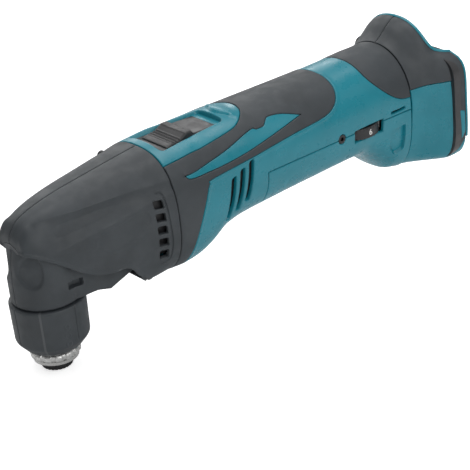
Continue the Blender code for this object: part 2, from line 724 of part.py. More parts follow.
def motor_fixed():
    ring_bearing("motor_bearing_front", MOTOR_BEARING, SHAFT_RADIUS, 55.8, True)
    ring_bearing("motor_bearing_rear", {"radius": 8.0, "width": 5.0}, SHAFT_RADIUS, 126.0, True)
    inner = ROTOR_RADIUS + 0.6
    can = turned(
        [(CAN_RADIUS, CAN_BACK), (CAN_RADIUS, CAN_FRONT), (inner - 4, CAN_FRONT), (inner - 4, CAN_FRONT + 1.6)]
        + [(inner, CAN_FRONT + 1.6), (inner, CAN_BACK)],
        36,
        True,
    )
    node(can, "motor_can", "black_steel")
    plate = cylinder(CAN_RADIUS, (CAN_BACK + GAP, 0, 0), (132.0, 0, 0), 24)
    cut(plate, cylinder(8.0 + GAP, (125.7, 0, 0), (140, 0, 0)))
    cut(plate, cylinder(7.0 + 1.5, (100, 0, 0), (124.0, 0, 0)))
    cut(plate, cylinder(SHAFT_RADIUS + 1.0, (100, 0, 0), (140, 0, 0)))
    for sign in (-1, 1):
        low, high = sorted((sign * 5.0, sign * 20.0))
        cut(plate, box((119.0, low, -3.4), (124.4, high, 3.4)))
    node(plate, "brush_plate", "black_plastic")
    for side, _, sign in SIDES:
        low, high = sorted((sign * (7.0 + GAP), sign * 12.0))
        brush = box((111.6, low, -2.6), (116.6, high, 2.6))
        room = box((110.9, low - 1, -3.2), (125.0, high + 1, 3.2))
        cut(bpy.data.objects["motor_can"], room)
        join(brush, box((116.0, low, -2.6), (123.6, high, 2.6)))
        cut(brush, cylinder(7.0 + GAP, (100, 0, 0), (130, 0, 0)))
        node(brush, f"carbon_brush_{side}", "carbon")


# ---- grip ------------------------------------------------------------------------------------


def dial_cutters(room=0.0):
    """The window in the side, and the round pocket that the wheel turns in."""
    w = DIAL_WINDOW
    x, y, z = DIAL["x"], DIAL["y"], DIAL["z"]
    reach = DIAL["thick"] / 2 + 2 * GAP
    pocket = cylinder(DIAL["radius"] + 3 * GAP, (x, y, z - reach), (x, y, z + reach), 40)
    return box((w["front"] - room, -40, w["low"] - room), (w["back"] + room, -14, w["high"] + room)), pocket


def vent_slots(sign):
    """Three long leaning slots beside the motor, on both sides of the grip."""
    cutters = []
    for i in range(3):
        x = 93.0 + 6.4 * i
        low, high = -19.0 + 3.4 * i, 3.0 + 1.8 * i
        outline = [(x - 3.2, low), (x - 0.8, low), (x + 3.4, high), (x + 1.0, high)]
        start, end = sorted((sign * 18.0, sign * 40.0))
        cutters.append(prism(outline, 1, start, end))
    return cutters


def main_housing():
    start, end = HEAD_SEAM_X + GAP / 2, NECK_SEAM_X - GAP / 2
    depth = SKIN + GAP + WALL
    shell = loft(GRIP, 0, start, end)
    cut(shell, loft(GRIP, depth, start - 9, end + 9))
    cut(shell, settled(outside_of(GRIP, SKIN + GAP, grip_layer_region(GAP), start, end)))
    cut(shell, settled(outside_of(GRIP, SKIN + GAP, neck_layer_region(GAP), start, end)))
    cut(shell, tray_region(GAP), lower_cover_region(GAP))
    for _, _, sign in SIDES:
        cut(shell, *vent_slots(sign))
        x, z = LOWER_COVER_SCREW
        wall = surface_y(GRIP, x, z - 5.0) - depth
        low, high = sorted((sign * (wall - 5.0), sign * (wall - 2 * GAP)))
        join(shell, box((x - 5.0, low, z - 5.0), (x + 5.0, high, 9.0)))
        low, high = sorted((sign * (wall - 2.0), sign * (wall + 2.0)))
        join(shell, box((x - 5.0, low, LOWER_COVER_TOP + 6.5), (x + 5.0, high, 9.0)))
        cut(shell, cylinder(SCREW_RADIUS + FIT, (x, 0, z), (x, sign * 40, z), 12))
    cut(shell, *dial_cutters())
    node(shell, "main_housing", "teal_plastic")


def grip_overmould():
    start, end = HEAD_SEAM_X + GAP / 2, NECK_SEAM_X - GAP / 2
    skin = loft(GRIP, 0, start, 185.0)
    cut(skin, loft(GRIP, SKIN, start - 9, 190.0))
    keep(skin, grip_layer_region())
    cut(skin, switch_panel_region(GAP))
    node(skin, "grip_overmould", "grey_elastomer")
    band = loft(GRIP, 0, 190.0, end)
    cut(band, loft(GRIP, SKIN, 185.0, end + 9))
    keep(band, neck_layer_region())
    node(band, "neck_overmould", "grey_elastomer")


def switch_panel():
    start = HEAD_SEAM_X + GAP / 2
    panel = loft(GRIP, 0, start, 130.0)
    cut(panel, settled(cut(loft(GRIP, SKIN, start - 9, 140.0), tray_region())))
    keep(panel, switch_panel_region())
    s = SWITCH_RECESS
    cut(panel, box((s["front"], -s["half_width"], RECESS_FLOOR), (s["back"], s["half_width"], 60)))
    cut(panel, box((66.0, -20, -60), (s["back"] + 2.0, 20, RECESS_FLOOR - FLOOR_THICK)))
    cut(panel, box((82.0 - SWITCH_TRAVEL - GAP, -3.3, 10), (96.0 + GAP, 3.3, 40)))
    node(panel, "switch_panel", "teal_plastic")


def switch_group():
    axis_empty("switch_axis", ((BUTTON["front"] + BUTTON["back"]) / 2, 0, RECESS_FLOOR))
    half = BUTTON["half_width"]
    low = RECESS_FLOOR + GAP
    front, back = BUTTON["front"], BUTTON["back"]
    ridge = [(92.0, 26.0), (90.0, 29.0), (87.0, 29.2), (85.0, 26.6)]
    button = prism([(front, low), (back, low), (back, 25.6), *ridge, (front + 2.0, 24.6)], 1, -half, half)
    join(button, box((82.0, -3.0, 18.3), (96.0, 3.0, low + 1.0)))
    node(button, "switch_button", "black_plastic", "switch_axis")
    rod = box((88.0, -2.6, 17.2), (146.0, 2.6, 18.0))
    join(rod, box((140.0, -2.6, 13.0), (146.0, 2.6, 18.0)))
    node(rod, "switch_rod", "black_plastic", "switch_axis")
    body = box((148.0, -8.0, -2.0), (172.0, 8.0, 16.0))
    cut(body, box((147.0, -4.0, 11.0), (152.0, 4.0, 17.0)))
    node(body, "power_switch", "black_plastic")


def lower_cover():
    start, end = HEAD_SEAM_X, NECK_SEAM_X - GAP / 2
    depth = SKIN + GAP + WALL
    shell = loft(GRIP, 0, start, end)
    cut(shell, loft(GRIP, depth, start - 9, end + 9))
    keep(shell, lower_cover_region())
    cut(shell, *dial_cutters(GAP))
    x, z = LOWER_COVER_SCREW
    for _, _, sign in SIDES:
        cut(shell, cylinder(SCREW_RADIUS + FIT, (x, 0, z), (x, sign * 40, z), 12))
        head = surface_y(GRIP, x, z) - 2.2
        cut(shell, cylinder(SCREW_HEAD_RADIUS + FIT, (x, sign * head, z), (x, sign * 40, z), 12))
    node(shell, "lower_cover", "teal_plastic")
    for side, _, sign in SIDES:
        head = surface_y(GRIP, x, z) - 0.4
        screw_across(f"lower_cover_screw_{side}", x, z, sign * head, sign * (head - 8.0))


def speed_control():
    axis_empty("dial_axis", (DIAL["x"], DIAL["y"], DIAL["z"]))
    low, high = DIAL["z"] - DIAL["thick"] / 2, DIAL["z"] + DIAL["thick"] / 2
    wheel = cylinder(DIAL["radius"], (DIAL["x"], DIAL["y"], low), (DIAL["x"], DIAL["y"], high), 42)
    cut(wheel, cylinder(1.6 + GAP, (DIAL["x"], DIAL["y"], low - 5), (DIAL["x"], DIAL["y"], high + 5), 12))
    notches = 14
    for i in range(notches):
        angle = 2 * math.pi * i / notches
        x = DIAL["x"] + (DIAL["radius"] + 0.35) * math.cos(angle)
        y = DIAL["y"] + (DIAL["radius"] + 0.35) * math.sin(angle)
        cut(wheel, cylinder(0.9, (x, y, high - 0.8), (x, y, high + 1), 6))
    node(wheel, "speed_dial", "black_plastic", "dial_axis")
    pot = box((DIAL["x"] - 5, DIAL["y"] - 5, high + GAP), (DIAL["x"] + 5, DIAL["y"] + 5, high + 5.0))
    join(pot, cylinder(1.6, (DIAL["x"], DIAL["y"], high + 1), (DIAL["x"], DIAL["y"], low), 12))
    node(pot, "potentiometer", "black_plastic")
    board = box((178.0, -17.5, high + 5.3), (214.0, 17.5, high + 6.9))
    for x, y, height in ((184, 10, 5.0), (194, 10, 7.0), (206, 9, 6.0), (206, -8, 8.0)):
        join(board, box((x - 3, y - 3, high + 6.0), (x + 3, y + 3, high + 6.9 + height)))
    node(board, "controller_board", "circuit_board")


# ---- battery end -----------------------------------------------------------------------------


def rear_solid(inset, end_x, hood_end=HOOD_END_X):
    """The hood above the foot, each with its own flare."""
    early = 9 if inset else -GAP / 2
    foot = loft(FOOT, inset, NECK_SEAM_X - early, end_x)
    return settled(join(foot, loft(HOOD, inset, HOOD[0][0], hood_end)))


def rear_housings():
    depth = SKIN + GAP + WALL
    for side, left, sign in SIDES:
        shell = settled(side_half(rear_solid(0, PANEL_END_X), left))
        cut(shell, room_round_bosses(rear_solid(depth, PANEL_END_X + 9, HOOD_END_X - WALL), REAR_SCREWS))
        layer = box((200, -60, REAR_LAYER_LOW - GAP), (REAR_LAYER_END_X + GAP, 60, 60))
        cut(shell, settled(cut(layer, rear_solid(SKIN + GAP, 300, HOOD_END_X + 2))))
        for x, z in REAR_SCREWS:
            cut(shell, screw_hole(x, z))
            if not left:
                head = surface_y(FOOT, x, z) - 4.0
                cut(shell, cylinder(SCREW_HEAD_RADIUS + FIT, (x, head, z), (x, 60, z), 12))
        node(shell, f"rear_housing_{side}", "teal_plastic")
        skin = rear_solid(0, PANEL_END_X)
        cut(skin, rear_solid(SKIN, PANEL_END_X + 9, HOOD_END_X + 2))
        keep(skin, box((200, -60, REAR_LAYER_LOW), (REAR_LAYER_END_X, 60, 60)))
        x, z = REAR_SCREWS[0]
        if not left:
            cut(skin, cylinder(SCREW_HEAD_RADIUS + FIT, (x, 0, z), (x, 60, z), 12))
        side_half(skin, left)
        node(skin, f"rear_overmould_{side}", "grey_elastomer")
    for i, (x, z) in enumerate(REAR_SCREWS):
        head = surface_y(FOOT, x, z) - 2.0
        screw_across(f"rear_screw_{i + 1}", x, z, head, SCREW_TIP_Y)


def battery_interface():
    """The dark frame that closes the tool's back and guides the battery up from below."""
    frame = loft(FOOT, 0, PANEL_END_X + GAP, REAR_X)
    back = REAR_X - CAVITY_DEPTH
    cut(frame, box((back, -RAIL_HALF_GAP + 3, -60), (REAR_X + 50, RAIL_HALF_GAP - 3, 12.0)))
    cut(frame, box((back, -RAIL_HALF_GAP - 2, -60), (REAR_X - 2.6, RAIL_HALF_GAP + 2, 12.0)))
    cut(frame, box((PANEL_END_X - 4, -TERMINAL_Y - 5, -14.0), (REAR_X + 50, TERMINAL_Y + 5, 8.0)))
    node(frame, "battery_interface", "black_plastic")
    block = box((TERMINAL_FRONT + 5, -TERMINAL_Y - 4.7, -13.7), (back - GAP, TERMINAL_Y + 4.7, 7.7))
    for sign in (-1, 1):
        y = sign * TERMINAL_Y
        cut(block, box((TERMINAL_FRONT - 3, y - 0.8 - GAP, -12.0), (REAR_X + 8, y + 0.8 + GAP, 4.0)))
    node(block, "terminal_block", "black_plastic")
    for name, sign in (("positive", -1), ("negative", 1)):
        y = sign * TERMINAL_Y
        blade = box((TERMINAL_FRONT, y - 0.8, -11.0), (REAR_X - 0.6, y + 0.8, 3.0))
        node(blade, f"terminal_{name}", "copper")


def lead_wire(name, material, y, start_x, start_z):
    """A lead from the controller to its terminal, on one smooth bend."""
    curve = bpy.data.curves.new(name, "CURVE")
    curve.dimensions = "3D"
    curve.bevel_depth = 1.1 * MM
    curve.bevel_resolution = 2
    curve.use_fill_caps = True
    spline = curve.splines.new("POLY")
    count = 13
    end = Vector((TERMINAL_FRONT - 2 * GAP, y, -4.0))
    start = Vector((start_x, y * 0.9, start_z))
    spline.points.add(count - 1)
    for i, point in enumerate(spline.points):
        t = i / (count - 1)
        ease = t * t * (3 - 2 * t)
        place = Vector((start.x + (end.x - start.x) * t, start.y, start.z)).lerp(
            Vector((start.x + (end.x - start.x) * t, end.y, end.z)), ease
        )
        point.co = (*(place * MM), 1)
    obj = bpy.data.objects.new(name, curve)
    CUTTERS.objects.link(obj)
    node(settled(obj), name, material)


def build():
    head_covers()
    gear_covers()
    guard_collar()
    gear_housing()
    spindle_group()
    clamp_group()
    spindle_bearings()
    work_light()
    motor_group()
    motor_fixed()
    main_housing()
    grip_overmould()
    switch_panel()
    switch_group()
    lower_cover()
    speed_control()
    rear_housings()
    battery_interface()
    lead_wire("lead_positive", "red_sleeve", -TERMINAL_Y, 216.0, 4.0)
    lead_wire("lead_negative", "black_plastic", TERMINAL_Y, 216.0, 4.0)
    for i, (x, z) in enumerate(HEAD_SCREWS):
        screw_across(f"head_screw_{i + 1}", x, z, surface_y(HEAD, x, z) - 1.2, SCREW_TIP_Y)
    for i, (x, z) in enumerate(GEAR_COVER_SCREWS):
        screw_across(f"gear_cover_screw_{i + 1}", x, z, 16.2, SCREW_TIP_Y)
    TOOL.location = Vector((-(REAR_X - COLLAR_RADIUS) / 2, 0, -LOWEST)) * MM


build()
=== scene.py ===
"""The looks of an oscillating multi tool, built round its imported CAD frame.

The outer shells, grips and covers are detailed meshes that stand for their CAD solids. The works inside
keep their CAD meshes and get finished materials. Shapes are written in millimetres of the tool's own frame:
x = 0 is the spindle's axis and +x runs to the rear, z = 0 is the motor's axis, and -y is the left side.
"""

import math

import bmesh
import bpy
import numpy as np
from mathutils import Matrix, Vector
from mathutils.geometry import delaunay_2d_cdt
from mathutils.kdtree import KDTree

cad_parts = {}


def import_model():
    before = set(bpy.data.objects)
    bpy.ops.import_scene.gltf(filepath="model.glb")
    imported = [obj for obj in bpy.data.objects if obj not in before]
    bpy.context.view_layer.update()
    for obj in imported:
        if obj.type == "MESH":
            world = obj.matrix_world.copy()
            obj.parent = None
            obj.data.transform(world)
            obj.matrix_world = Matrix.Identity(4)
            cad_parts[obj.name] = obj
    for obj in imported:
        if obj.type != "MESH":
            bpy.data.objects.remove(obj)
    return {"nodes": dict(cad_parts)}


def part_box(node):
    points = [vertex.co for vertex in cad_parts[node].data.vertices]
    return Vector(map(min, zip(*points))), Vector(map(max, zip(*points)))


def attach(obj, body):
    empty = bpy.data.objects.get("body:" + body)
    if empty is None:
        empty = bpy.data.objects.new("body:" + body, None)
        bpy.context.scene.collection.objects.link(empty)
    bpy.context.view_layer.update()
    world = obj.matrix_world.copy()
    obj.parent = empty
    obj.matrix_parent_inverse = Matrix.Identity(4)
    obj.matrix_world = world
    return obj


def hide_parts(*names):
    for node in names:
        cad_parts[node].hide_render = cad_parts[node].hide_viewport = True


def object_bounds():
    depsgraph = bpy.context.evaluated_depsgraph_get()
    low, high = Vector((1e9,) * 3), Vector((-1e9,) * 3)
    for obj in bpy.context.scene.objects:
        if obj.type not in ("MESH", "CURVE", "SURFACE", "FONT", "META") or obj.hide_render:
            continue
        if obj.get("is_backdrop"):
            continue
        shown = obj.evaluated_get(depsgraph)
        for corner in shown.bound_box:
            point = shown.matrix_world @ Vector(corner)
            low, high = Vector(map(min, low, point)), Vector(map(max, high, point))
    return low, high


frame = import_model()
CAD_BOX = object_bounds()
NODES = frame["nodes"]

MM = 0.001
SIDES = (("left", 1), ("right", -1))  # the sign turns an angle round the body to that side

# Driving sizes, which repeat the CAD's.
HEAD_SEAM_X = 62.5
LOWER_COVER_X = 121.0
NECK_SEAM_X = 224.0
REAR_X = 252.6
LOWEST_Z = -69.6  # the bottom of the clamp bolt
COVER_PARTING_Z = -2.4
COLLAR_RADIUS = 19.5
SEAM = 0.14  # from each shell's edge to the middle of the joint
UNROLL = 27.0  # mm of a shell's flat pattern for each radian round the body

TOOL_ORIGIN = Vector(
    (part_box("battery_interface")[1].x - REAR_X * MM, 0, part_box("clamp_bolt")[0].z - LOWEST_Z * MM)
)


# ---- Shape of the body -------------------------------------------------------------------------------------

# Each section: x, top, bottom, half width, height of the widest place, squareness above and below it.
BODY_SECTIONS = (
    (-15.5, 1.8, -30.0, 8.5, -9.0, 2.5, 2.4),
    (-15.0, 5.2, -31.0, 10.6, -9.0, 2.5, 2.4),
    (-13.9, 7.6, -32.0, 12.2, -9.0, 2.5, 2.4),
    (-10.7, 11.4, -34.0, 14.6, -9.0, 2.5, 2.4),
    (-3.8, 14.8, -36.0, 17.4, -9.0, 2.5, 2.4),
    (11.0, 18.5, -38.0, 21.3, -9.0, 2.5, 2.4),
    (33.0, 21.7, -40.5, 25.0, -9.0, 2.5, 2.4),
    (50.0, 24.0, -41.8, 27.6, -9.0, 2.5, 2.4),
    (HEAD_SEAM_X, 25.5, -40.6, 29.5, -9.0, 2.6, 2.3),
    (72.0, 26.6, -41.2, 29.5, -8.0, 2.5, 2.3),
    (80.0, 27.0, -40.2, 29.3, -6.5, 2.5, 2.3),
    (87.0, 27.0, -37.5, 29.0, -4.5, 2.4, 2.3),
    (98.0, 27.0, -30.5, 28.6, -2.0, 2.4, 2.3),
    (110.0, 27.0, -28.0, 28.3, -0.5, 2.4, 2.3),
    (125.0, 27.0, -27.0, 28.0, 0.0, 2.3, 2.3),
    (160.0, 27.0, -25.6, 27.4, 0.8, 2.3, 2.3),
    (195.0, 28.0, -24.6, 26.5, 1.5, 2.2, 2.4),
    (202.0, 28.4, -28.0, 26.3, 1.5, 2.2, 2.5),
    (209.0, 28.8, -34.0, 26.2, 1.0, 2.2, 2.6),
    (217.0, 29.2, -40.0, 26.2, 0.5, 2.1, 2.7),
    (NECK_SEAM_X, 29.5, -41.5, 26.4, 0.5, 2.1, 2.8),
)
FOOT_SECTIONS = (
    (NECK_SEAM_X, 29.5, -41.5, 26.4, 0.5, 2.1, 2.8),
    (230.0, 29.0, -41.5, 28.0, 0.5, 2.3, 3.2),
    (236.0, 28.0, -41.4, 31.2, 0.3, 2.8, 3.8),
    (242.0, 26.0, -41.2, 35.6, -0.4, 3.6, 4.4),
    (247.0, 24.4, -40.6, 38.6, -1.2, 4.6, 5.0),
    (REAR_X, 23.0, -39.5, 39.9, -2.0, 5.6, 5.0),
)
HOOD_SECTIONS = (
    (NECK_SEAM_X, 28.6, -12.0, 25.6, 0.5, 2.1, 2.8),
    (229.0, 33.0, -12.0, 26.6, 0.5, 2.2, 2.8),
    (234.0, 37.6, -12.0, 27.2, 0.5, 2.3, 2.8),
    (240.0, 41.0, -12.0, 28.5, 0.5, 2.4, 2.8),
    (REAR_X, 41.0, -12.0, 28.5, 0.5, 2.4, 2.8),
)
HOOD_BLEND = 2.5  # how far the hood's foot is rounded into the shoulders


def smooth_through(stations, rows, at):
    """Values at the given places of a curve through the rows that never swings past them."""
    stations = np.asarray(stations, float)
    rows = np.asarray(rows, float)
    steps = np.diff(stations)
    slopes = np.diff(rows, axis=0) / steps[:, None]
    tangents = np.zeros_like(rows)
    tangents[0], tangents[-1] = slopes[0], slopes[-1]
    turning = slopes[:-1] * slopes[1:] <= 0
    before, after = slopes[:-1], slopes[1:]
    weight_before = (2 * steps[1:] + steps[:-1])[:, None]
    weight_after = (steps[1:] + 2 * steps[:-1])[:, None]
    with np.errstate(divide="ignore", invalid="ignore"):
        mean = (weight_before + weight_after) / (weight_before / before + weight_after / after)
    tangents[1:-1] = np.where(turning, 0, mean)
    at = np.clip(at, stations[0], stations[-1])
    i = np.clip(np.searchsorted(stations, at, side="right") - 1, 0, len(steps) - 1)
    t = ((at - stations[i]) / steps[i])[..., None]
    step = steps[i][..., None]
    return (
        (2 * t**3 - 3 * t**2 + 1) * rows[i]
        + (t**3 - 2 * t**2 + t) * step * tangents[i]
        + (3 * t**2 - 2 * t**3) * rows[i + 1]
        + (t**3 - t**2) * step * tangents[i + 1]
    )


def reach(values, angle):
    """Distance from the section's middle to its edge, at an angle from straight up."""
    top, bottom, half, middle, above, below = (values[..., k] for k in range(1, 7))
    up = np.cos(angle) >= 0
    power = np.where(up, above, below)
    height = np.where(up, top - middle, middle - bottom)
    across, along = np.abs(np.sin(angle)) / half, np.abs(np.cos(angle)) / height
    return (across**power + along**power) ** (-1 / power)


class Surface:
    """The smooth outside of the body. In its flat pattern, u runs along the ridge and v round the section."""

    def __init__(self, sections, ridge=None):
        self.table = np.array(sections, float)
        self.ridge = None if ridge is None else np.array(ridge, float)
        outline = self.table if ridge is None else self.ridge
        self.x = outline[:, 0]
        lengths = np.hypot(np.diff(self.x), np.diff(outline[:, 1]))
        self.u = self.x[0] + np.concatenate([[0], np.cumsum(lengths)])
        fine = np.linspace(self.u[0], self.u[-1], 3000)
        self.fine = fine, smooth_through(self.u, self.x[:, None], fine)[:, 0]

    def to_u(self, x):
        return np.interp(x, self.fine[1], self.fine[0])

    def point(self, u, v):
        x = np.interp(u, *self.fine)
        angle = np.asarray(v, float) / UNROLL
        values = smooth_through(self.table[:, 0], self.table, x)
        radius = reach(values, angle)
        if self.ridge is not None:
            other = reach(smooth_through(self.x, self.ridge, x), angle)
            apart = radius - other
            radius = (radius + other + np.sqrt(apart**2 + HOOD_BLEND**2) - HOOD_BLEND * 0.5) / 2
        return np.stack([x, -radius * np.sin(angle), values[..., 4] + radius * np.cos(angle)], -1)

    def normal(self, u, v):
        h = 0.05
        along = self.point(u + h, v) - self.point(u - h, v)
        around = self.point(u, v + h) - self.point(u, v - h)
        n = np.cross(around, along)
        return n / np.linalg.norm(n, axis=-1, keepdims=True)

    def across(self, points, axis, side=1, farthest=math.pi):
        """Flat-pattern points for (x, z) in a side view (axis 2) or (x, half width) in a plan (axis 1)."""
        angles = np.linspace(0, farthest, 900)
        found = []
        for x, value in points:
            u = self.to_u(x)
            falling = self.point(np.full(900, u), angles * UNROLL)[:, axis]
            v = np.interp(-value if axis == 2 else value, -falling, angles) * UNROLL
            found.append((u, side * v))
        return np.array(found)


BODY = Surface(BODY_SECTIONS)
REAR = Surface(FOOT_SECTIONS, HOOD_SECTIONS)
BOTTOM = math.pi * UNROLL


def resampled(points, step):
    points = np.asarray(points, float)
    length = np.concatenate([[0], np.cumsum(np.linalg.norm(np.diff(points, axis=0), axis=1))])
    count = max(2, int(round(length[-1] / step)) + 1)
    at = np.linspace(0, length[-1], count)
    return np.stack([np.interp(at, length, points[:, k]) for k in range(points.shape[1])], -1)


def curve(*points, step=0.6):
    """A smooth curve through the points."""
    points = np.asarray(points, float)
    if len(points) == 2:
        return resampled(points, step)
    ends = np.concatenate([[2 * points[0] - points[1]], points, [2 * points[-1] - points[-2]]])
    t = np.linspace(0, 1, 24, endpoint=False)[:, None]
    pieces = []
    for i in range(1, len(ends) - 2):
        a, b, c, d = ends[i - 1 : i + 3]
        pieces.append(
            0.5 * (2 * b + (c - a) * t + (2 * a - 5 * b + 4 * c - d) * t**2 + (3 * b - a - 3 * c + d) * t**3)
        )
    return resampled(np.concatenate(pieces + [points[-1:]]), step)


def rounded_loop(points, radius):
    """A closed outline with its corners rounded."""
    points = [np.array(p, float) for p in points]
    loop = []
    for i, corner in enumerate(points):
        into = corner - points[i - 1]
        out = points[(i + 1) % len(points)] - corner
        size = min(radius, np.linalg.norm(into) * 0.45, np.linalg.norm(out) * 0.45)
        a = corner - into / np.linalg.norm(into) * size
        b = corner + out / np.linalg.norm(out) * size
        for t in np.linspace(0, 1, 6):
            loop.append((1 - t) ** 2 * a + 2 * t * (1 - t) * corner + t**2 * b)
    return np.array(loop)


def joined(*runs):
    return np.concatenate([np.asarray(r, float) for r in runs])


def closed_loop(loop):
    """A loop of an outline with rounded edges, from points that don't repeat the first."""
    return [(joined(loop, loop[:1]), True)]


# ---- Shells from flat patterns -----------------------------------------------------------------------------


class Outline:
    """The closed edges of a flat pattern. Distances are taken to the rounded edges only."""

    def __init__(self, loops, step):
        self.points, self.edges, self.rounded = [], [], []
        for runs in loops:
            start = len(self.points)
            for points, rounded in runs:
                samples = resampled(points, step)[:-1]
                self.points += list(samples)
                self.rounded += [rounded] * len(samples)
            count = len(self.points) - start
            self.edges += [(start + i, start + (i + 1) % count) for i in range(count)]
        self.points = np.array(self.points)
        self.rounded = np.array(self.rounded)
        self.ends = self.points[[b for _, b in self.edges]]
        self.find_inward()
        used = np.nonzero(self.rounded)[0]
        self.starts_kept, self.ends_kept = self.points[used], self.ends[used]
        middles = (self.starts_kept + self.ends_kept) / 2
        self.tree = KDTree(len(middles))
        for i, point in enumerate(middles):
            self.tree.insert((point[0], point[1], 0), i)
        self.tree.balance()

    def find_inward(self):
        """Notes for each edge which side the material is on, so that rings go inwards."""
        direction = self.ends - self.points
        left = np.stack([-direction[:, 1], direction[:, 0]], -1)
        self.inward = left / np.maximum(np.linalg.norm(left, axis=1, keepdims=True), 1e-9)
        test = (self.points + self.ends) / 2 + self.inward * 0.02
        self.inward[~self.contains(test)] *= -1

    def contains(self, points):
        inside = np.zeros(len(points), bool)
        a, b = self.points, self.ends
        for start in range(0, len(points), 2000):
            p = points[start : start + 2000]
            above_a = a[None, :, 1] > p[:, None, 1]
            above_b = b[None, :, 1] > p[:, None, 1]
            with np.errstate(divide="ignore", invalid="ignore"):
                at = a[:, 0] + (p[:, None, 1] - a[:, 1]) * (b[:, 0] - a[:, 0]) / (b[:, 1] - a[:, 1])
            crossing = (above_a != above_b) & (p[:, None, 0] < at)
            inside[start : start + 2000] = crossing.sum(1) % 2 == 1
        return inside

    def distance(self, points):
        """Distance to the nearest rounded edge."""
        nearest = np.empty((len(points), 3), int)
        for i, (x, y) in enumerate(points):
            found = self.tree.find_n((x, y, 0), 3)
            nearest[i] = [f[1] for f in found]
        best = np.full(len(points), np.inf)
        for k in range(3):
            a, b = self.starts_kept[nearest[:, k]], self.ends_kept[nearest[:, k]]
            along = b - a
            t = ((points - a) * along).sum(1) / np.maximum((along**2).sum(1), 1e-12)
            closest = a + along * np.clip(t, 0, 1)[:, None]
            best = np.minimum(best, np.linalg.norm(points - closest, axis=1))
        return best


def flat_points(outline, rounding, cell, lines):
    """The outline, rings beside its rounded edges, points beside each feature line and an even field."""
    points = [outline.points]
    used = outline.rounded
    middles = (outline.points + outline.ends) / 2
    rings = [rounding * share for share in (0.13, 0.4, 0.75, 1.05)]
    for ring in rings:
        at = middles[used] + outline.inward[used] * ring
        points.append(at[outline.distance(at) > ring * 0.96])
    clear = rings[-1] + cell * 0.45
    for line, spread in lines:
        line = resampled(line, cell * 0.6)
        direction = np.gradient(line, axis=0)
        across = np.stack([-direction[:, 1], direction[:, 0]], -1)
        across /= np.linalg.norm(across, axis=1, keepdims=True)
        for shift in spread:
            at = line + across * shift
            at = at[outline.contains(at)]
            points.append(at[outline.distance(at) > rings[-1] + 0.15])
    featured = np.concatenate(points[len(rings) + 1 :]) if lines else None
    low, high = outline.points.min(0), outline.points.max(0)
    rows = np.arange(low[0], high[0], cell * 0.87)
    columns = np.arange(low[1], high[1], cell)
    field = np.array([(u, v + cell * 0.5 * (i % 2)) for i, u in enumerate(rows) for v in columns])
    field = field[outline.contains(field)]
    field = field[outline.distance(field) > clear]
    if featured is not None and len(featured):
        tree = KDTree(len(featured))
        for i, (u, v) in enumerate(featured):
            tree.insert((u, v, 0), i)
        tree.balance()
        away = np.array([tree.find((u, v, 0))[2] for u, v in field])
        field = field[away > cell * 0.5]
    return np.concatenate(points + [field])


def triangulated(outline, points):
    """Triangles of the flat pattern, and each outline edge as a pair of point numbers."""
    found = delaunay_2d_cdt([Vector(p) for p in points], outline.edges, [], 0, 1e-4)
    flat = np.array([tuple(v) for v in found[0]])
    faces = np.array(found[2])
    place = {}
    for new, olds in enumerate(found[3]):
        for old in olds:
            place[old] = new
    on_edge = np.zeros(len(flat), bool)
    on_edge[[place[i] for i in range(len(outline.points))]] = True
    risky = on_edge[faces].all(1)
    keep = np.ones(len(faces), bool)
    keep[risky] = outline.contains(flat[faces[risky]].mean(1))
    edges = [(place[a], place[b]) for a, b in outline.edges]
    return flat, faces[keep], edges


def edge_drop(distance, rounding):
    """How far a surface falls towards a rounded edge."""
    inside = np.clip(rounding - distance, 0, rounding)
    return rounding - np.sqrt(np.maximum(rounding**2 - inside**2, 0))


def shell(name, surface, loops, thick=2.2, rounding=0.6, cell=1.3, relief=None, lines=(), lift=0.0, step=0.6):
    """A closed moulded shell: a flat pattern laid on the surface, with rounded edges, walls and a back."""
    outline = Outline(loops, step)
    flat, faces, edges = triangulated(outline, flat_points(outline, rounding, cell, lines))
    u, v = flat[:, 0], flat[:, 1]
    base = surface.point(u, v)
    normal = surface.normal(u, v)
    rise = lift - edge_drop(outline.distance(flat), rounding)
    if relief is not None:
        rise = rise + relief(base, u, v)
    front = base + normal * rise[:, None]
    back = base - normal * (thick - min(lift, 0))
    count = len(flat)
    triangles = [tuple(reversed(f)) for f in faces] + [tuple(int(i) + count for i in f) for f in faces]
    for (a, b), rounded in zip(edges, outline.rounded):
        if rounded and a != b:
            triangles.append((a, b, b + count, a + count))
    return make_object(name, np.concatenate([front, back]), triangles, merge=not outline.rounded.all())


def make_object(name, points, faces, merge=False):
    """A mesh from millimetres of the tool's frame, with its faces turned outwards."""
    mesh = bpy.data.meshes.new(name)
    places = np.asarray(points) * MM + np.array(TOOL_ORIGIN)
    mesh.from_pydata([tuple(p) for p in places], [], [tuple(int(i) for i in f) for f in faces])
    edit = bmesh.new()
    edit.from_mesh(mesh)
    if merge:
        bmesh.ops.remove_doubles(edit, verts=edit.verts, dist=2e-6)
    loose = [v for v in edit.verts if not v.link_faces]
    bmesh.ops.delete(edit, geom=loose, context="VERTS")
    bmesh.ops.recalc_face_normals(edit, faces=edit.faces)
    if edit.calc_volume(signed=True) < 0:
        bmesh.ops.reverse_faces(edit, faces=edit.faces)
    edit.to_mesh(mesh)
    edit.free()
    mesh.polygons.foreach_set("use_smooth", [True] * len(mesh.polygons))
    obj = bpy.data.objects.new(name, mesh)
    bpy.context.scene.collection.objects.link(obj)
    return obj


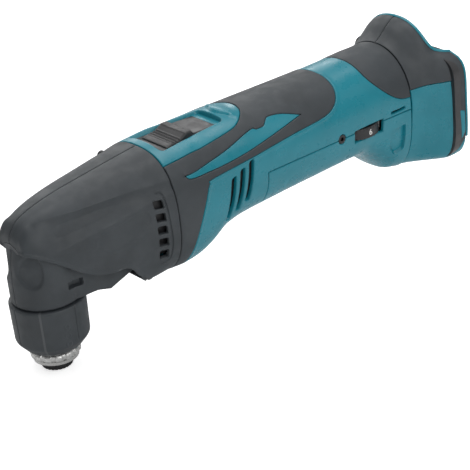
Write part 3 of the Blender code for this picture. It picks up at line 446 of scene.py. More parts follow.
def grid_object(name, grid, close_along=False, close_across=True, caps=True):
    """A mesh from rings of points, each ring a closed loop, with flat caps at both ends."""
    rings, count = grid.shape[:2]
    faces = []
    for i in range(rings - (0 if close_along else 1)):
        for j in range(count - (0 if close_across else 1)):
            a, b = i * count + j, i * count + (j + 1) % count
            c, d = ((i + 1) % rings) * count + (j + 1) % count, ((i + 1) % rings) * count + j
            faces.append((a, b, c, d))
    if caps and not close_along:
        faces.append(tuple(range(count)))
        faces.append(tuple((rings - 1) * count + j for j in range(count)))
    return make_object(name, grid.reshape(-1, 3), faces)


def finish_piece(obj, body, material, slot, *nodes):
    obj.data.materials.clear()
    obj.data.materials.append(material)
    obj.modifiers.new("Edges", "EDGE_SPLIT").split_angle = math.radians(50)
    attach(obj, body)
    if nodes:
        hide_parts(*nodes)


# ---- Materials ---------------------------------------------------------------------------------------------


class Nodes:
    """A small helper to write a material's node tree."""

    def __init__(self, name, scale=1.0):
        self.material = bpy.data.materials.new(name)
        self.material.use_nodes = True
        self.tree = self.material.node_tree
        self.shader = self.tree.nodes["Principled BSDF"]
        coordinates = self.tree.nodes.new("ShaderNodeTexCoord")
        mapping = self.tree.nodes.new("ShaderNodeMapping")
        mapping.inputs["Scale"].default_value = (scale,) * 3
        self.tree.links.new(coordinates.outputs["Object"], mapping.inputs["Vector"])
        self.place = mapping.outputs["Vector"]
        self.mapping = mapping

    def link(self, output, target):
        self.tree.links.new(output, target)

    def noise(self, scale, detail=3.0, roughness=0.5):
        node = self.tree.nodes.new("ShaderNodeTexNoise")
        node.inputs["Scale"].default_value = scale
        node.inputs["Detail"].default_value = detail
        node.inputs["Roughness"].default_value = roughness
        self.link(self.place, node.inputs["Vector"])
        return node.outputs["Fac"]

    def ramp(self, value, low, high, start=0.35, end=0.65):
        """Maps a noise value onto a range."""
        node = self.tree.nodes.new("ShaderNodeMapRange")
        node.interpolation_type = "SMOOTHSTEP"
        for key, number in (("From Min", start), ("From Max", end), ("To Min", low), ("To Max", high)):
            node.inputs[key].default_value = number
        self.link(value, node.inputs["Value"])
        return node.outputs["Result"]

    def blend(self, factor, first, second):
        node = self.tree.nodes.new("ShaderNodeMix")
        node.data_type = "RGBA"
        self.link(factor, node.inputs["Factor"])
        for key, colour in (("A", first), ("B", second)):
            socket = [s for s in node.inputs if s.name == key and s.type == "RGBA"][0]
            if isinstance(colour, bpy.types.NodeSocket):
                self.link(colour, socket)
            else:
                socket.default_value = (*colour, 1)
        return [s for s in node.outputs if s.type == "RGBA"][0]

    def bump(self, height, strength, distance):
        node = self.tree.nodes.new("ShaderNodeBump")
        node.inputs["Strength"].default_value = strength
        node.inputs["Distance"].default_value = distance
        self.link(height, node.inputs["Height"])
        self.link(node.outputs["Normal"], self.shader.inputs["Normal"])

    def edge_wear(self):
        """Strongest on convex edges."""
        geometry = self.tree.nodes.new("ShaderNodeNewGeometry")
        return self.ramp(geometry.outputs["Pointiness"], 0.0, 1.0, 0.52, 0.6)


def moulded(name, colour, roughness, grain_size, grain_depth, wear=0.12, mottling=0.06, coat=0.0):
    """A moulded plastic or rubber: fine spark-eroded grain, faint mottling and paler rubbed edges."""
    nodes = Nodes(name)
    dark = tuple(c * (1 - mottling) for c in colour)
    light = tuple(min(1, c * (1 + mottling) + 0.002) for c in colour)
    mottled = nodes.blend(nodes.ramp(nodes.noise(60, 4), 0, 1), dark, light)
    worn = tuple(min(1, c + (0.5 - c) * wear) for c in colour)
    rubbed = nodes.blend(nodes.edge_wear(), mottled, worn)
    nodes.link(rubbed, nodes.shader.inputs["Base Color"])
    nodes.link(
        nodes.ramp(nodes.noise(140, 5), roughness - 0.05, roughness + 0.07), nodes.shader.inputs["Roughness"]
    )
    nodes.bump(nodes.noise(1 / (grain_size * MM), 2, 0.6), 0.5, grain_depth * MM)
    nodes.shader.inputs["Coat Weight"].default_value = coat
    nodes.shader.inputs["Coat Roughness"].default_value = 0.3
    return nodes.material


def metal(name, colour, roughness, stretch=(1, 1, 14), polish=0.08, scratches=0.02):
    """A machined metal: streaks along the cut, uneven polish and dull spots."""
    nodes = Nodes(name)
    nodes.mapping.inputs["Scale"].default_value = stretch
    streaks = nodes.noise(900, 3)
    tint = nodes.blend(nodes.ramp(streaks, 0, 1), tuple(c * 0.8 for c in colour), colour)
    nodes.link(tint, nodes.shader.inputs["Base Color"])
    nodes.shader.inputs["Metallic"].default_value = 1.0
    uneven = nodes.ramp(nodes.noise(260, 4), roughness - polish, roughness + polish)
    nodes.link(uneven, nodes.shader.inputs["Roughness"])
    nodes.bump(streaks, 0.35, scratches * MM)
    return nodes.material


def board_material():
    nodes = Nodes("circuit_board")
    traces = nodes.tree.nodes.new("ShaderNodeTexBrick")
    traces.inputs["Scale"].default_value = 420
    traces.inputs["Mortar Size"].default_value = 0.03
    nodes.link(nodes.place, traces.inputs["Vector"])
    nodes.link(nodes.blend(traces.outputs["Fac"], (0.01, 0.09, 0.035), (0.02, 0.16, 0.06)),
               nodes.shader.inputs["Base Color"])
    nodes.link(nodes.ramp(nodes.noise(300), 0.3, 0.5), nodes.shader.inputs["Roughness"])
    return nodes.material


def lens_material():
    nodes = Nodes("clear_lens")
    nodes.shader.inputs["Base Color"].default_value = (0.86, 0.9, 0.92, 1)
    nodes.shader.inputs["Transmission Weight"].default_value = 0.75
    nodes.shader.inputs["IOR"].default_value = 1.49
    nodes.link(nodes.ramp(nodes.noise(500), 0.12, 0.25), nodes.shader.inputs["Roughness"])
    nodes.bump(nodes.noise(700), 0.3, 0.03 * MM)
    return nodes.material


TEAL = moulded("teal_plastic", (0.004, 0.2, 0.262), 0.3, 0.45, 0.015, wear=0.02, mottling=0.04, coat=0.06)
RUBBER = moulded("soft_grip", (0.034, 0.041, 0.047), 0.55, 0.35, 0.035, wear=0.08, mottling=0.09)
BLACK = moulded("black_plastic", (0.02, 0.02, 0.022), 0.42, 0.4, 0.02, wear=0.1)
MATERIALS = {
    "teal_plastic": TEAL,
    "soft_grip": RUBBER,
    "black_plastic": BLACK,
    "cast_aluminium": metal("cast_aluminium", (0.62, 0.63, 0.64), 0.5, (1, 1, 1), 0.1, 0.06),
    "bright_steel": metal("bright_steel", (0.66, 0.66, 0.65), 0.3, (1, 1, 9)),
    "black_steel": metal("black_steel", (0.06, 0.06, 0.062), 0.38, (1, 1, 3)),
    "copper": metal("copper", (0.8, 0.38, 0.2), 0.32),
    "carbon": moulded("carbon", (0.025, 0.025, 0.027), 0.6, 0.3, 0.04),
    "circuit_board": board_material(),
    "red_sleeve": moulded("red_sleeve", (0.42, 0.02, 0.015), 0.45, 0.8, 0.02),
    "clear_lens": lens_material(),
}


def give_cad_materials():
    for obj in NODES.values():
        for slot in obj.material_slots:
            slot.material = MATERIALS[slot.material.name.split(".")[0]]


# ---- Relief ------------------------------------------------------------------------------------------------


def step_between(value, low, high):
    t = np.clip((value - low) / (high - low), 0, 1)
    return t * t * (3 - 2 * t)


class Line:
    """A line of the flat pattern, to measure distances from."""

    def __init__(self, points, closed=False):
        points = np.asarray(points, float)
        if closed:
            points = np.concatenate([points, points[:1]])
        self.points = resampled(points, 0.25)
        self.tree = KDTree(len(self.points))
        for i, (u, v) in enumerate(self.points):
            self.tree.insert((u, v, 0), i)
        self.tree.balance()

    def distance(self, u, v):
        return np.array([self.tree.find((a, b, 0))[2] for a, b in zip(u, v)])


def groove(line, width, depth):
    """Relief of a rounded groove along a line."""

    def relief(_, u, v):
        return -depth * (1 - step_between(line.distance(u, v), width * 0.25, width * 0.55))

    return relief


def pocket(points, depth, slope=0.7):
    """Relief of a recess with a closed outline and sloping walls."""
    line = Line(points, closed=True)
    outline = Outline([closed_loop(points)], 0.4)

    def relief(_, u, v):
        inside = outline.contains(np.stack([u, v], -1))
        return -depth * np.where(inside, step_between(line.distance(u, v), 0, slope), 0)

    return relief


def together(*reliefs):
    return lambda base, u, v: sum(relief(base, u, v) for relief in reliefs)


def mirrored(points):
    return np.asarray(points, float) * (1, -1)


# ---- Lines that the shells share, as x and z seen from the side --------------------------------------------

HEAD_EDGE = curve(
    (-15.5, -1.4), (-12.6, -2.4), (-7.0, -5.4), (0.6, -10.2), (9.0, -16.4), (17.0, -20.5), (25.5, -22.2),
    (32.0, -22.4), (36.0, -25.0), (39.0, -29.0), (44.0, -33.5),
)  # fmt: skip
CHIN = curve((44.0, -33.5), (53.5, -42.6))
GRIP_EDGE = joined(
    curve((68.0, -43.0), (71.0, -27.0), (74.5, -14.5), (82.0, 3.2)),
    curve((83.6, 5.4), (86.0, 6.8), (117.0, 9.3)),
    curve((117.0, 9.3), (141.0, 11.5), (163.0, 13.2), (172.0, 16.5), (177.0, 22.0), (178.8, 28.0))[1:],
)
NECK_EDGE = curve(
    (198.4, 29.0), (199.0, 22.0), (204.5, 14.8), (212.0, 8.4), (218.0, 5.4), (NECK_SEAM_X - SEAM, 4.6)
)
PANEL_EDGE = curve(
    (63.2, 20.6), (82.0, 20.2), (104.0, 18.2), (113.0, 16.0), (120.5, 10.0), (123.3, 4.0), (123.8, 0.0)
)
STRIPE = joined(
    curve((71.0, 13.0), (73.0, 11.0), (77.0, 10.4)),
    curve((77.0, 10.4), (97.0, 10.9), (120.0, 13.4), (150.0, 18.2)),
    curve((150.0, 18.2), (140.0, 21.3), (131.5, 22.2), (128.6, 21.2)),
    curve((128.6, 21.2), (125.6, 19.7), (120.6, 19.7)),
    curve((120.6, 19.7), (119.0, 20.5), (112.0, 19.6), (97.0, 16.4), (78.0, 13.4), (71.0, 13.0)),
)
RAIL_FRONT = ((244.4, 9.6), (247.0, -33.2))
RAIL_LOW = (RAIL_FRONT[1], (252.2, -24.2))
HOOD_RIM = curve((240.0, 37.6), (240.4, 33.0), (241.4, 28.6), (243.6, 25.2), (247.2, 23.4), (252.2, 22.2))


# ---- Head --------------------------------------------------------------------------------------------------


def head_relief(base, u, v):
    """The scooped flank under each shoulder, with a crease above and below it, and the squared nose."""
    x = base[:, 0]
    angle = np.degrees(np.abs(v) / UNROLL)
    shoulder = np.interp(x, SHOULDER[:, 0], SHOULDER[:, 1])
    flank = np.interp(x, FLANK[:, 0], FLANK[:, 1])
    t = np.clip((angle - shoulder) / (flank - shoulder), 0, 1)
    depth = 2.7 * step_between(x, -10.5, 4.0) * (1 - 0.8 * step_between(x, 22.0, 61.0))
    scoop = -depth * np.sin(math.pi * t**0.8)
    corner = 0.9 * np.exp(-(((np.abs(base[:, 1]) - 9.4) / 2.6) ** 2)) * (1 - step_between(x, -11.0, -7.0))
    return scoop + corner * step_between(x, -15.4, -14.2)


# The creases above and below the scoop: x, and degrees round from the ridge.
SHOULDER = np.array(
    [(-12, 20), (-8.5, 22), (1.6, 29.7), (13.8, 35.9), (26.8, 39), (40, 42), (53, 45.5), (HEAD_SEAM_X, 48)]
)
FLANK = np.array([(-12, 78), (-4, 72), (7.8, 66.9), (22, 63.8), (36, 60.7), (50.5, 58.3), (HEAD_SEAM_X, 57.4)])


def angle_line(table):
    return np.array([(BODY.to_u(x), math.radians(angle) * UNROLL) for x, angle in resampled(table, 1.0)])


def screw_holes(surface, *names):
    """Round holes over screws that go in from the right."""
    loops = []
    for name in names:
        low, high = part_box(name)
        middle = ((low + high) / 2 - TOOL_ORIGIN) / MM
        radius = (high.z - low.z) / 2 / MM + 0.35
        turn = np.linspace(0, 2 * math.pi, 28)
        circle = np.stack([middle.x + radius * np.cos(turn), middle.z + radius * np.sin(turn)], -1)
        loops.append([(surface.across(circle, 2, -1), True)])
    return loops


def head_covers():
    """The soft halves of the head, with five windows, a frame line round them and a shallow pocket each."""
    edge = BODY.across(HEAD_EDGE, 2)
    edge = edge[edge[:, 1] > 0.6]
    chin = BODY.across(CHIN, 2)
    chin = chin[chin[:, 1] < BOTTOM - 0.6]
    chin_end = (chin[-1][0] + 0.4, BOTTOM - SEAM)
    nose_u, seam_u = edge[0][0], BODY.to_u(HEAD_SEAM_X - SEAM)
    outer = joined(
        [(seam_u, SEAM), (nose_u, SEAM)], edge, chin, [chin_end, (seam_u, BOTTOM - SEAM), (seam_u, SEAM)]
    )
    windows = []
    for i in range(5):
        middle = 5.0 - 6.6 * i
        low, high = middle - (2.6 if i == 4 else 2.1), middle + 2.1
        corners = ((50.3, high), (55.2, high - 0.5), (55.4, low - 0.5), (50.5, low))
        windows.append(BODY.across(corners, 2))
    frame_line = BODY.across(
        curve((53.2, 10.0), (56.0, 8.4), (57.0, -6.0), (57.4, -17.0), (56.4, -25.4), (52.4, -27.2)), 2
    )
    leaf = BODY.across(
        curve((17.5, -6.6), (20.5, -0.6), (30.0, 1.4), (42.0, 4.2), (46.6, 3.2), (47.4, -2.6), (39.0, -9.6),
              (26.0, -12.0), (17.5, -6.6)), 2
    )  # fmt: skip
    lip_line = joined(edge, chin)
    lip = Line(lip_line)
    frame_relief = groove(Line(frame_line), 1.0, 0.45)
    leaf_relief = pocket(leaf[:-1], 0.5, 1.1)
    for side, sign in SIDES:

        def relief(base, u, v, sign=sign):
            v = v * sign
            rim = 0.4 * (1 - step_between(lip.distance(u, v), 1.6, 2.6))
            return head_relief(base, u, v) + rim + frame_relief(base, u, v) + leaf_relief(base, u, v)

        lines = [
            (angle_line(SHOULDER) * (1, sign), (0.0, 0.5, -0.5)),
            (angle_line(FLANK) * (1, sign), (0.0, 0.6, -0.6)),
            (frame_line * (1, sign), (-0.55, -0.2, 0.2, 0.55)),
            (lip_line * (1, sign), (-1.6, -2.1, -2.6, 1.6, 2.1, 2.6)),
            (leaf * (1, sign), (-1.1, -0.5, 0.0, 0.5, 1.1)),
        ]
        holes = [closed_loop(rounded_loop(w * (1, sign), 0.9)) for w in windows]
        if sign < 0:
            holes += screw_holes(BODY, "head_screw_1", "head_screw_2")
        loops = [[(outer * (1, sign), True)]] + holes
        name = f"head_cover_{side}"
        cover = shell(f"{name}_skin", BODY, loops, relief=relief, lines=lines, rounding=0.55, cell=1.1)
        finish_piece(cover, "housing", RUBBER, "soft_grip", name)


def vent_liners():
    """Black sheets behind the head's windows and the housing's vents, painted shade for the dark inside seen
    through them.
    """
    regions = (
        ("head", -4.2, ((48.6, 9.4), (57.4, 8.6), (57.6, -25.6), (48.8, -24.8))),
        ("motor", -2.8, ((89.5, 0.0), (117.0, 13.0), (114.0, -12.0), (92.0, -23.5))),
    )
    for place, lift, corners in regions:
        for side, sign in SIDES:
            loop = rounded_loop(BODY.across(corners, 2, sign), 1.0)
            name = f"{place}_vent_shade_sheet_{side}"
            # Each sheet is sunk under its vents: painted shade, standing in for the dark inside of the tool.
            shade_sheet = shell(name, BODY, [closed_loop(loop)], lift=lift, thick=0.8, rounding=0.3)
            finish_piece(shade_sheet, "housing", BLACK, "black_plastic")


def nose_plates():
    """The flat below each half of the nose, down to the lower lip."""
    start = BODY.across(HEAD_EDGE, 2)[0]
    over = np.linspace(SEAM, start[1], 24)
    rim = BODY.point(np.full(24, start[0]), over)
    corner = rim[-1]
    bulge = 1 - np.linspace(0, 1, 24) ** 2
    lip = np.stack([corner[0] + 0.9 * bulge, rim[:, 1], corner[2] - 1.8 * bulge], -1)
    rows = [rim + (lip - rim) * t for t in np.linspace(0, 1, 10)]
    rows += [lip + (0.3 + 0.4 * t, 0, -0.15 * t * (2 - t)) for t in (0.5, 1.0)]
    rows += [lip + (2.2, 0, 0.1), rim + (2.2, 0, -0.3)]
    for side, sign in SIDES:
        grid = np.array(rows) * (1, -sign, 1)
        plate = grid_object(f"head_nose_{side}", grid, close_along=True, close_across=False)
        finish_piece(plate, "housing", RUBBER, "soft_grip")


class Flat:
    """A plane to lay a flat pattern on."""

    def __init__(self, origin, along, around):
        self.origin, self.along, self.around = (np.array(a, float) for a in (origin, along, around))
        self.along /= np.linalg.norm(self.along)
        self.around /= np.linalg.norm(self.around)

    def point(self, u, v):
        return self.origin + np.asarray(u)[:, None] * self.along + np.asarray(v)[:, None] * self.around

    def normal(self, u, v):
        return np.tile(np.cross(self.around, self.along), (len(u), 1))


# ---- Grip, switch panel, casing ----------------------------------------------------------------------------


def grip_overmould():
    """The soft skin over the top and sides, and the two openings where the casing's stripes show."""
    edge = BODY.across(GRIP_EDGE, 2)
    edge = edge[(edge[:, 1] > 0.5) & (edge[:, 1] < BOTTOM - 0.3)]
    panel = BODY.across(PANEL_EDGE, 1, farthest=math.pi / 2)
    front = BODY.to_u(HEAD_SEAM_X + SEAM)
    panel = panel + (0.0, 0.12)
    panel[0, 0] = front
    tail = panel[panel[:, 1] > 0.3]
    start_u = edge[0, 0]
    top = (edge[-1][0] + 0.1, 0)
    # The panel's end is part of the outline, and the two runs along the bottom meet without an edge.
    outer = [
        (joined([(front, BOTTOM)], tail), True),
        (joined(tail[-1:], [(panel[-1, 0] + 0.12, 0)], mirrored(tail[::-1])), True),
        ([(front, -tail[0, 1]), (front, -BOTTOM)], True),
        ([(front, -BOTTOM), (start_u, -BOTTOM)], False),
        (joined([(start_u, -BOTTOM)], mirrored(edge), [top], edge[::-1], [(start_u, BOTTOM)]), True),
        ([(start_u, BOTTOM), (front, BOTTOM)], False),
    ]
    stripes = [[(BODY.across(STRIPE, 2, sign), True)] for _, sign in SIDES]
    grip = shell("grip_overmould_skin", BODY, [outer] + stripes, lift=0.25, rounding=0.6, cell=1.25)
    finish_piece(grip, "housing", RUBBER, "soft_grip", "grip_overmould")
    return stripes


def inset_loop(loop, distance):
    """A closed outline moved inwards a little, for a piece set in a hole."""
    outline = Outline([[(loop, True)]], 0.6)
    middles = (outline.points + outline.ends) / 2 + outline.inward * distance
    middles = middles[outline.distance(middles) > distance * 0.95]
    return np.concatenate([middles, middles[:1]])


def parting_line(start, end, screw_u, bow, window_z):
    """The joint of casing and lower cover, bowed round the screw and stepped at the window, if it has one."""
    points = resampled(BODY.across(resampled([start, end], 3), 2), 0.35)
    u = points[:, 0]
    points[:, 1] += bow * np.clip(1 - ((u - screw_u) / abs(bow)) ** 2, 0, None) ** 0.5
    if window_z is not None:
        window = BODY.across(((182.0, window_z), (203.0, window_z)), 2)
        points[(u > window[0, 0]) & (u < window[1, 0]), 1] = window[:, 1].mean()
    return points


def main_housing(stripes):
    """The teal casing, with three vents a side, the upper half of the dial's window and a small slot."""
    grip = BODY.across(GRIP_EDGE, 2)
    grip = grip[(grip[:, 1] > 0.4) & (grip[:, 1] < BOTTOM - 0.3)] + (SEAM, 0.1)
    neck = BODY.across(NECK_EDGE, 2)
    neck = neck[neck[:, 1] > 0.3] - (SEAM, 0)
    back = BODY.to_u(NECK_SEAM_X - SEAM)
    front = BODY.to_u(LOWER_COVER_X - SEAM)
    start_u = grip[0, 0]
    vents = []
    for _, sign in SIDES:
        for i in range(3):
            x = 92.8 + 6.2 * i
            low, high = -19.5 + 3.2 * i, 2.6 + 2.4 * i
            corners = ((x, low), (x + 4.4, high), (x + 7.6, high + 0.8), (x + 3.3, low - 0.8))
            vents.append(closed_loop(rounded_loop(BODY.across(corners, 2, sign), 0.9)))
    slot = BODY.across(((209.0, 0.6), (219.5, 0.8), (219.5, -0.6), (209.0, -0.8)), 2)
    vents.append(closed_loop(rounded_loop(slot, 0.5)))

    z = COVER_PARTING_Z + SEAM
    ends = (NECK_SEAM_X - SEAM, z), (LOWER_COVER_X - SEAM, z)
    screw_u = BODY.across(((170.4, z), (175.0, z)), 2)[:, 0].mean()
    left = parting_line(*ends, screw_u, -2.6, -1.2)
    right = mirrored(parting_line(*ends, screw_u, -2.6, None))
    # The two runs along the bottom meet without an edge.
    top = [(grip[-1][0] + 0.1, 0)]
    front_rim = joined([(start_u, BOTTOM)], grip, top, mirrored(grip[::-1]), [(start_u, -BOTTOM)])
    lower_right = joined([(front, -BOTTOM)], right[::-1], [(back, right[0, 1])])
    lower_left = joined(left, [(front, BOTTOM)])
    rear_rim = joined(lower_right, mirrored(neck[::-1]), [(neck[0][0], 0)], neck, lower_left)
    outer = [
        (front_rim, True),
        ([(start_u, -BOTTOM), (front, -BOTTOM)], False),
        (rear_rim, True),
        ([(front, BOTTOM), (start_u, BOTTOM)], False),
    ]
    rim = Line(joined(grip, mirrored(grip)))

    def relief(base, u, v):
        return 0.22 * (1 - step_between(rim.distance(u, v), 1.2, 1.8))

    beside = (1.2, 1.5, 1.8, -1.2, -1.5, -1.8)
    lines = [(grip, beside), (mirrored(grip), beside)]
    loops = [outer] + vents
    casing = shell("main_housing_shell", BODY, loops, cell=1.3, relief=relief, lines=lines, rounding=0.5)
    for i, hole in enumerate(stripes):
        inner = [(inset_loop(hole[0][0], 0.15), True)]
        stripe = shell(f"main_housing_stripe_{i + 1}", BODY, [inner], cell=1.0, rounding=0.35, lift=-0.05)
        finish_piece(stripe, "housing", TEAL, "teal_plastic")
    finish_piece(casing, "housing", TEAL, "teal_plastic", "main_housing")


def lower_cover():
    """The teal cover below, with the lower half of the dial's window and a pocket on each side."""
    back = BODY.to_u(NECK_SEAM_X - SEAM)
    front = BODY.to_u(LOWER_COVER_X + SEAM)
    z = COVER_PARTING_Z - SEAM
    ends = (LOWER_COVER_X + SEAM, z), (NECK_SEAM_X - SEAM, z)
    past_bottom = (0, 2 * BOTTOM)
    screw_u = BODY.to_u(172.7)
    left = parting_line(*ends, screw_u, 2.6, -8.6)
    right = mirrored(parting_line(*ends, screw_u, 2.6, None)) + past_bottom
    outer = [(joined([(front, BOTTOM)], left, [(back, BOTTOM)], right[::-1], [(front, BOTTOM)]), True)]
    corners = BODY.across(((208.6, -10.4), (219.4, -9.2), (219.4, -24.6), (213.4, -27.0), (209.4, -21.0)), 2)
    dents = []
    lines = []
    for side_corners in (corners, mirrored(corners) + past_bottom):
        outline = rounded_loop(side_corners, 1.2)
        dents.append(pocket(outline, 2.8, 1.0))
        lines.append((joined(outline, outline[:1]), (-1.0, -0.5, 0.0, 0.5, 1.0)))
    relief = together(*dents)
    cover = shell("lower_cover_shell", BODY, [outer], thick=1.8, rounding=0.5, relief=relief, lines=lines)
    finish_piece(cover, "housing", TEAL, "teal_plastic", "lower_cover")


def neck_overmould():
    edge = BODY.across(NECK_EDGE, 2)
    edge = edge[edge[:, 1] > 0.3]
    back = BODY.to_u(NECK_SEAM_X - SEAM)
    low = edge[-1, 1]
    outer = joined(
        [(edge[0][0], 0)], edge, [(back, low), (back, -low)], mirrored(edge[::-1]), [(edge[0][0], 0)]
    )
    band = shell("neck_overmould_skin", BODY, [[(outer, True)]], cell=1.2, rounding=0.55, lift=0.15)
    finish_piece(band, "housing", RUBBER, "soft_grip", "neck_overmould")


def panel_tray():
    """The switch panel: its recess opens over a floor coloured black as painted shade, with a thumb ramp
    behind the button.
    """
    panel = BODY.across(PANEL_EDGE, 1, farthest=math.pi / 2)
    front = BODY.to_u(HEAD_SEAM_X + SEAM)
    panel[0, 0] = front
    outer = joined(panel, mirrored(panel[::-1]), panel[:1])
    recess = [(67.2, 11.6), (67.2, -11.6), (109.0, -11.2), (109.0, 11.2)]
    loop = rounded_loop([(BODY.to_u(x), math.asin(y / 30.0) * UNROLL) for x, y in recess], 2.6)
    ramp_edge = ((113.5, -9.0), (110.8, -4.0), (110.2, 0.0), (110.8, 4.0), (113.5, 9.0))
    ramp_front = Line(curve(*[(BODY.to_u(x), y) for x, y in ramp_edge]))
    ramp_back = BODY.to_u(122.0)

    def relief(base, u, v):
        rise = 1.5 * step_between(ramp_back - u, 0.5, 9.5) * step_between(13.0 - np.abs(v), 0.0, 4.5)
        behind = u > BODY.to_u(110.4) + 3.0 * (np.abs(v) / 9.0) ** 2
        return np.where(behind, rise * step_between(ramp_front.distance(u, v), 0.0, 1.3), 0)

    lines = [(ramp_front.points, (-0.9, -0.3, 0.0, 0.3, 0.9, 1.5, 2.2))]
    loops = [[(outer, True)], closed_loop(loop)]
    tray = shell(
        "switch_panel_shell", BODY, loops, thick=4.4, rounding=0.7, cell=1.0, relief=relief, lines=lines
    )
    low, high = (66.0, -13.2, 20.4), (110.6, 13.2, 22.4)
    # The recess's floor is coloured black, not the panel's teal: painted shade in the recess.
    floor = slab("switch_panel_floor_shade", low, high, 0.4)
    step = slab("switch_panel_step", (104.6, -10.9, 22.2), (109.6, 10.9, 24.2), 0.6)
    finish_piece(floor, "housing", BLACK, "teal_plastic")
    finish_piece(step, "housing", TEAL, "teal_plastic")
    finish_piece(tray, "housing", TEAL, "teal_plastic", "switch_panel")


def slab(name, low, high, radius):
    """A rounded block."""
    edit = bmesh.new()
    bmesh.ops.create_cube(edit, size=1)
    for vertex in edit.verts:
        for axis in range(3):
            vertex.co[axis] = high[axis] if vertex.co[axis] > 0 else low[axis]
    bmesh.ops.bevel(edit, geom=edit.edges, offset=radius, segments=3, profile=0.5, affect="EDGES")
    points = [tuple(v.co) for v in edit.verts]
    faces = [[v.index for v in f.verts] for f in edit.faces]
    edit.free()
    return make_object(name, points, faces)


def switch_button():
    """A slide with a ribbed ridge: its long section follows the thumb, its ends and sides are rounded."""
    low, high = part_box("switch_button")
    front, back = (low.x - TOOL_ORIGIN.x) / MM, (high.x - TOOL_ORIGIN.x) / MM
    half = (high.y - low.y) / 2 / MM
    bottom = 22.7
    outline = [
        (front, 22.8), (front + 0.6, 23.3), (front + 3.0, 23.7), (front + 8.0, 24.4), (front + 11.5, 26.2),
        (front + 12.5, 26.9), (front + 14.8, 27.0), (front + 16.2, 26.6), (front + 17.4, 25.2),
        (front + 19.0, 24.8), (back - 6.0, 24.5), (back - 1.2, 24.1), (back - 0.3, 23.6), (back, 22.9),
    ]  # fmt: skip
    top = curve(*outline, step=0.3)
    along = top[:, 0]
    ribs = 0.28 * np.sin((along - front) * 2 * math.pi / 1.7) * step_between(along, front + 2.5, front + 4.5)
    ribs *= 1 - step_between(along, front + 8.5, front + 10.0)
    from_side = (1 - np.cos(np.linspace(0, math.pi / 2, 7)[1:])) * 0.12
    across = joined([-1.0], from_side - 1, np.linspace(-0.85, 0.85, 25), 1 - from_side[::-1], [1.0])
    rings = []
    for (x, z), rib in zip(top, ribs):
        t = np.clip((np.abs(across) - 0.88) / 0.12, 0, 1)
        drop = 1.3 * (1 - np.sqrt(np.maximum(1 - t**2, 0)))
        hollow = 0.35 * step_between(x, back - 26, back - 18) * step_between(back - x, 1.0, 4.0)
        dish = hollow * np.cos(across * math.pi / 2)
        upper = np.maximum(z + rib - drop - dish, bottom + 0.1)
        ring = [(x, half * a, h) for a, h in zip(across, upper)] + [(x, half, bottom), (x, -half, bottom)]
        rings.append(ring)
    button = grid_object("switch_button_cap", np.array(rings))
    finish_piece(button, "switch_slider", BLACK, "black_plastic", "switch_button")


# ---- Gear cover, collar and spindle end --------------------------------------------------------------------


def gear_cover_plan():
    """Half of the gear cover's plan at its widest: round the spindle, then back along the arm."""
    radius, arm_half, arm_back, corner = 17.6, 16.2, 43.6, 4.0
    join = math.acos(-0.38)
    arc = [(-radius * math.cos(a), radius * math.sin(a)) for a in np.linspace(0, join, 60)]
    side = [(12.0, arm_half), (arm_back - corner, arm_half)]
    round_back = [
        (arm_back - corner + corner * math.sin(a), arm_half - corner + corner * math.cos(a))
        for a in np.linspace(0.1, math.pi / 2, 10)
    ]
    return resampled(np.array(arc + side + round_back + [(arm_back, 0)]), 0.1)


def gear_covers():
    """Each half wraps the spindle and runs back under the head; its floor slopes up towards the back."""
    plan = gear_cover_plan()
    length = np.concatenate([[0], np.cumsum(np.linalg.norm(np.diff(plan, axis=0), axis=1))])
    at = np.concatenate([[0, 0.1, 0.3, 0.6], np.arange(1.0, length[-1] - 0.5, 0.42), [length[-1]]])
    plan = np.stack([np.interp(at, length, plan[:, k]) for k in (0, 1)], -1)
    edge_fall = edge_drop(at, 0.6)
    heights = np.concatenate([np.linspace(0, 1, 70), np.ones(17)])
    tuck = np.concatenate([np.zeros(70), [0.06, 0.25, 0.6, 1.1, 1.7], np.linspace(2.4, 15.0, 12)])
    bend = 1.2  # the radius between the wall and the floor
    rings = []
    for t, inward in zip(heights, tuck):
        x, y = plan[:, 0], plan[:, 1]
        floor = np.interp(x, (-20, 17.0, 20.0, 27.0, 40.0, 44.0), (-31.7, -31.7, -31.9, -34.0, -29.6, -27.6))
        top = np.interp(x, (-18, 0, 20, 44), (1.0, -4.0, -14.0, -17.0))
        z = top + (floor + bend - top) * t
        flare = np.interp(z, (-31.7, -27.0, -19.0, -9.0, 1.0), (0.3, 0.1, 0.1, 0.9, 3.0))
        flare = flare * np.clip(1 - (x - 2.0) / 16.0, 0.12, 1)
        pull = flare + inward
        if inward > 0:
            z = floor + bend - np.sqrt(bend**2 - (bend - min(inward, bend)) ** 2)
        else:
            hollow = step_between(4.6 - np.hypot(x + 13.0, (z + 11.0) * 0.5), 0.0, 0.9)
            hollow = hollow * (x < 0) * step_between(y, 2.0, 5.0)
            slot = step_between(1.9 - np.abs(z + 22.5 + 0.12 * (x - 7)), 0, 0.4)
            slot = slot * step_between(4.6 - np.abs(x - 7.0), 0, 0.4)
            pull = pull + edge_fall + 1.1 * hollow + 2.4 * slot
        centre = np.clip(x, 0, 26.0)
        dx, dy = x - centre, y
        size = np.maximum(np.hypot(dx, dy), 1e-6)
        share = np.clip(1 - pull / size, 0.05, 1)
        rings.append(np.stack([centre + dx * share, np.maximum(dy * share, SEAM), z], -1))
    rings = np.array(rings)
    for side, sign in SIDES:
        points = rings * (1, -sign, 1)
        cover = grid_object(f"gear_cover_{side}_shell", points, close_across=False, caps=False)
        solidify = cover.modifiers.new("Wall", "SOLIDIFY")
        solidify.thickness = 1.6 * MM
        solidify.offset = -1
        finish_piece(cover, "housing", RUBBER, "soft_grip", f"gear_cover_{side}")


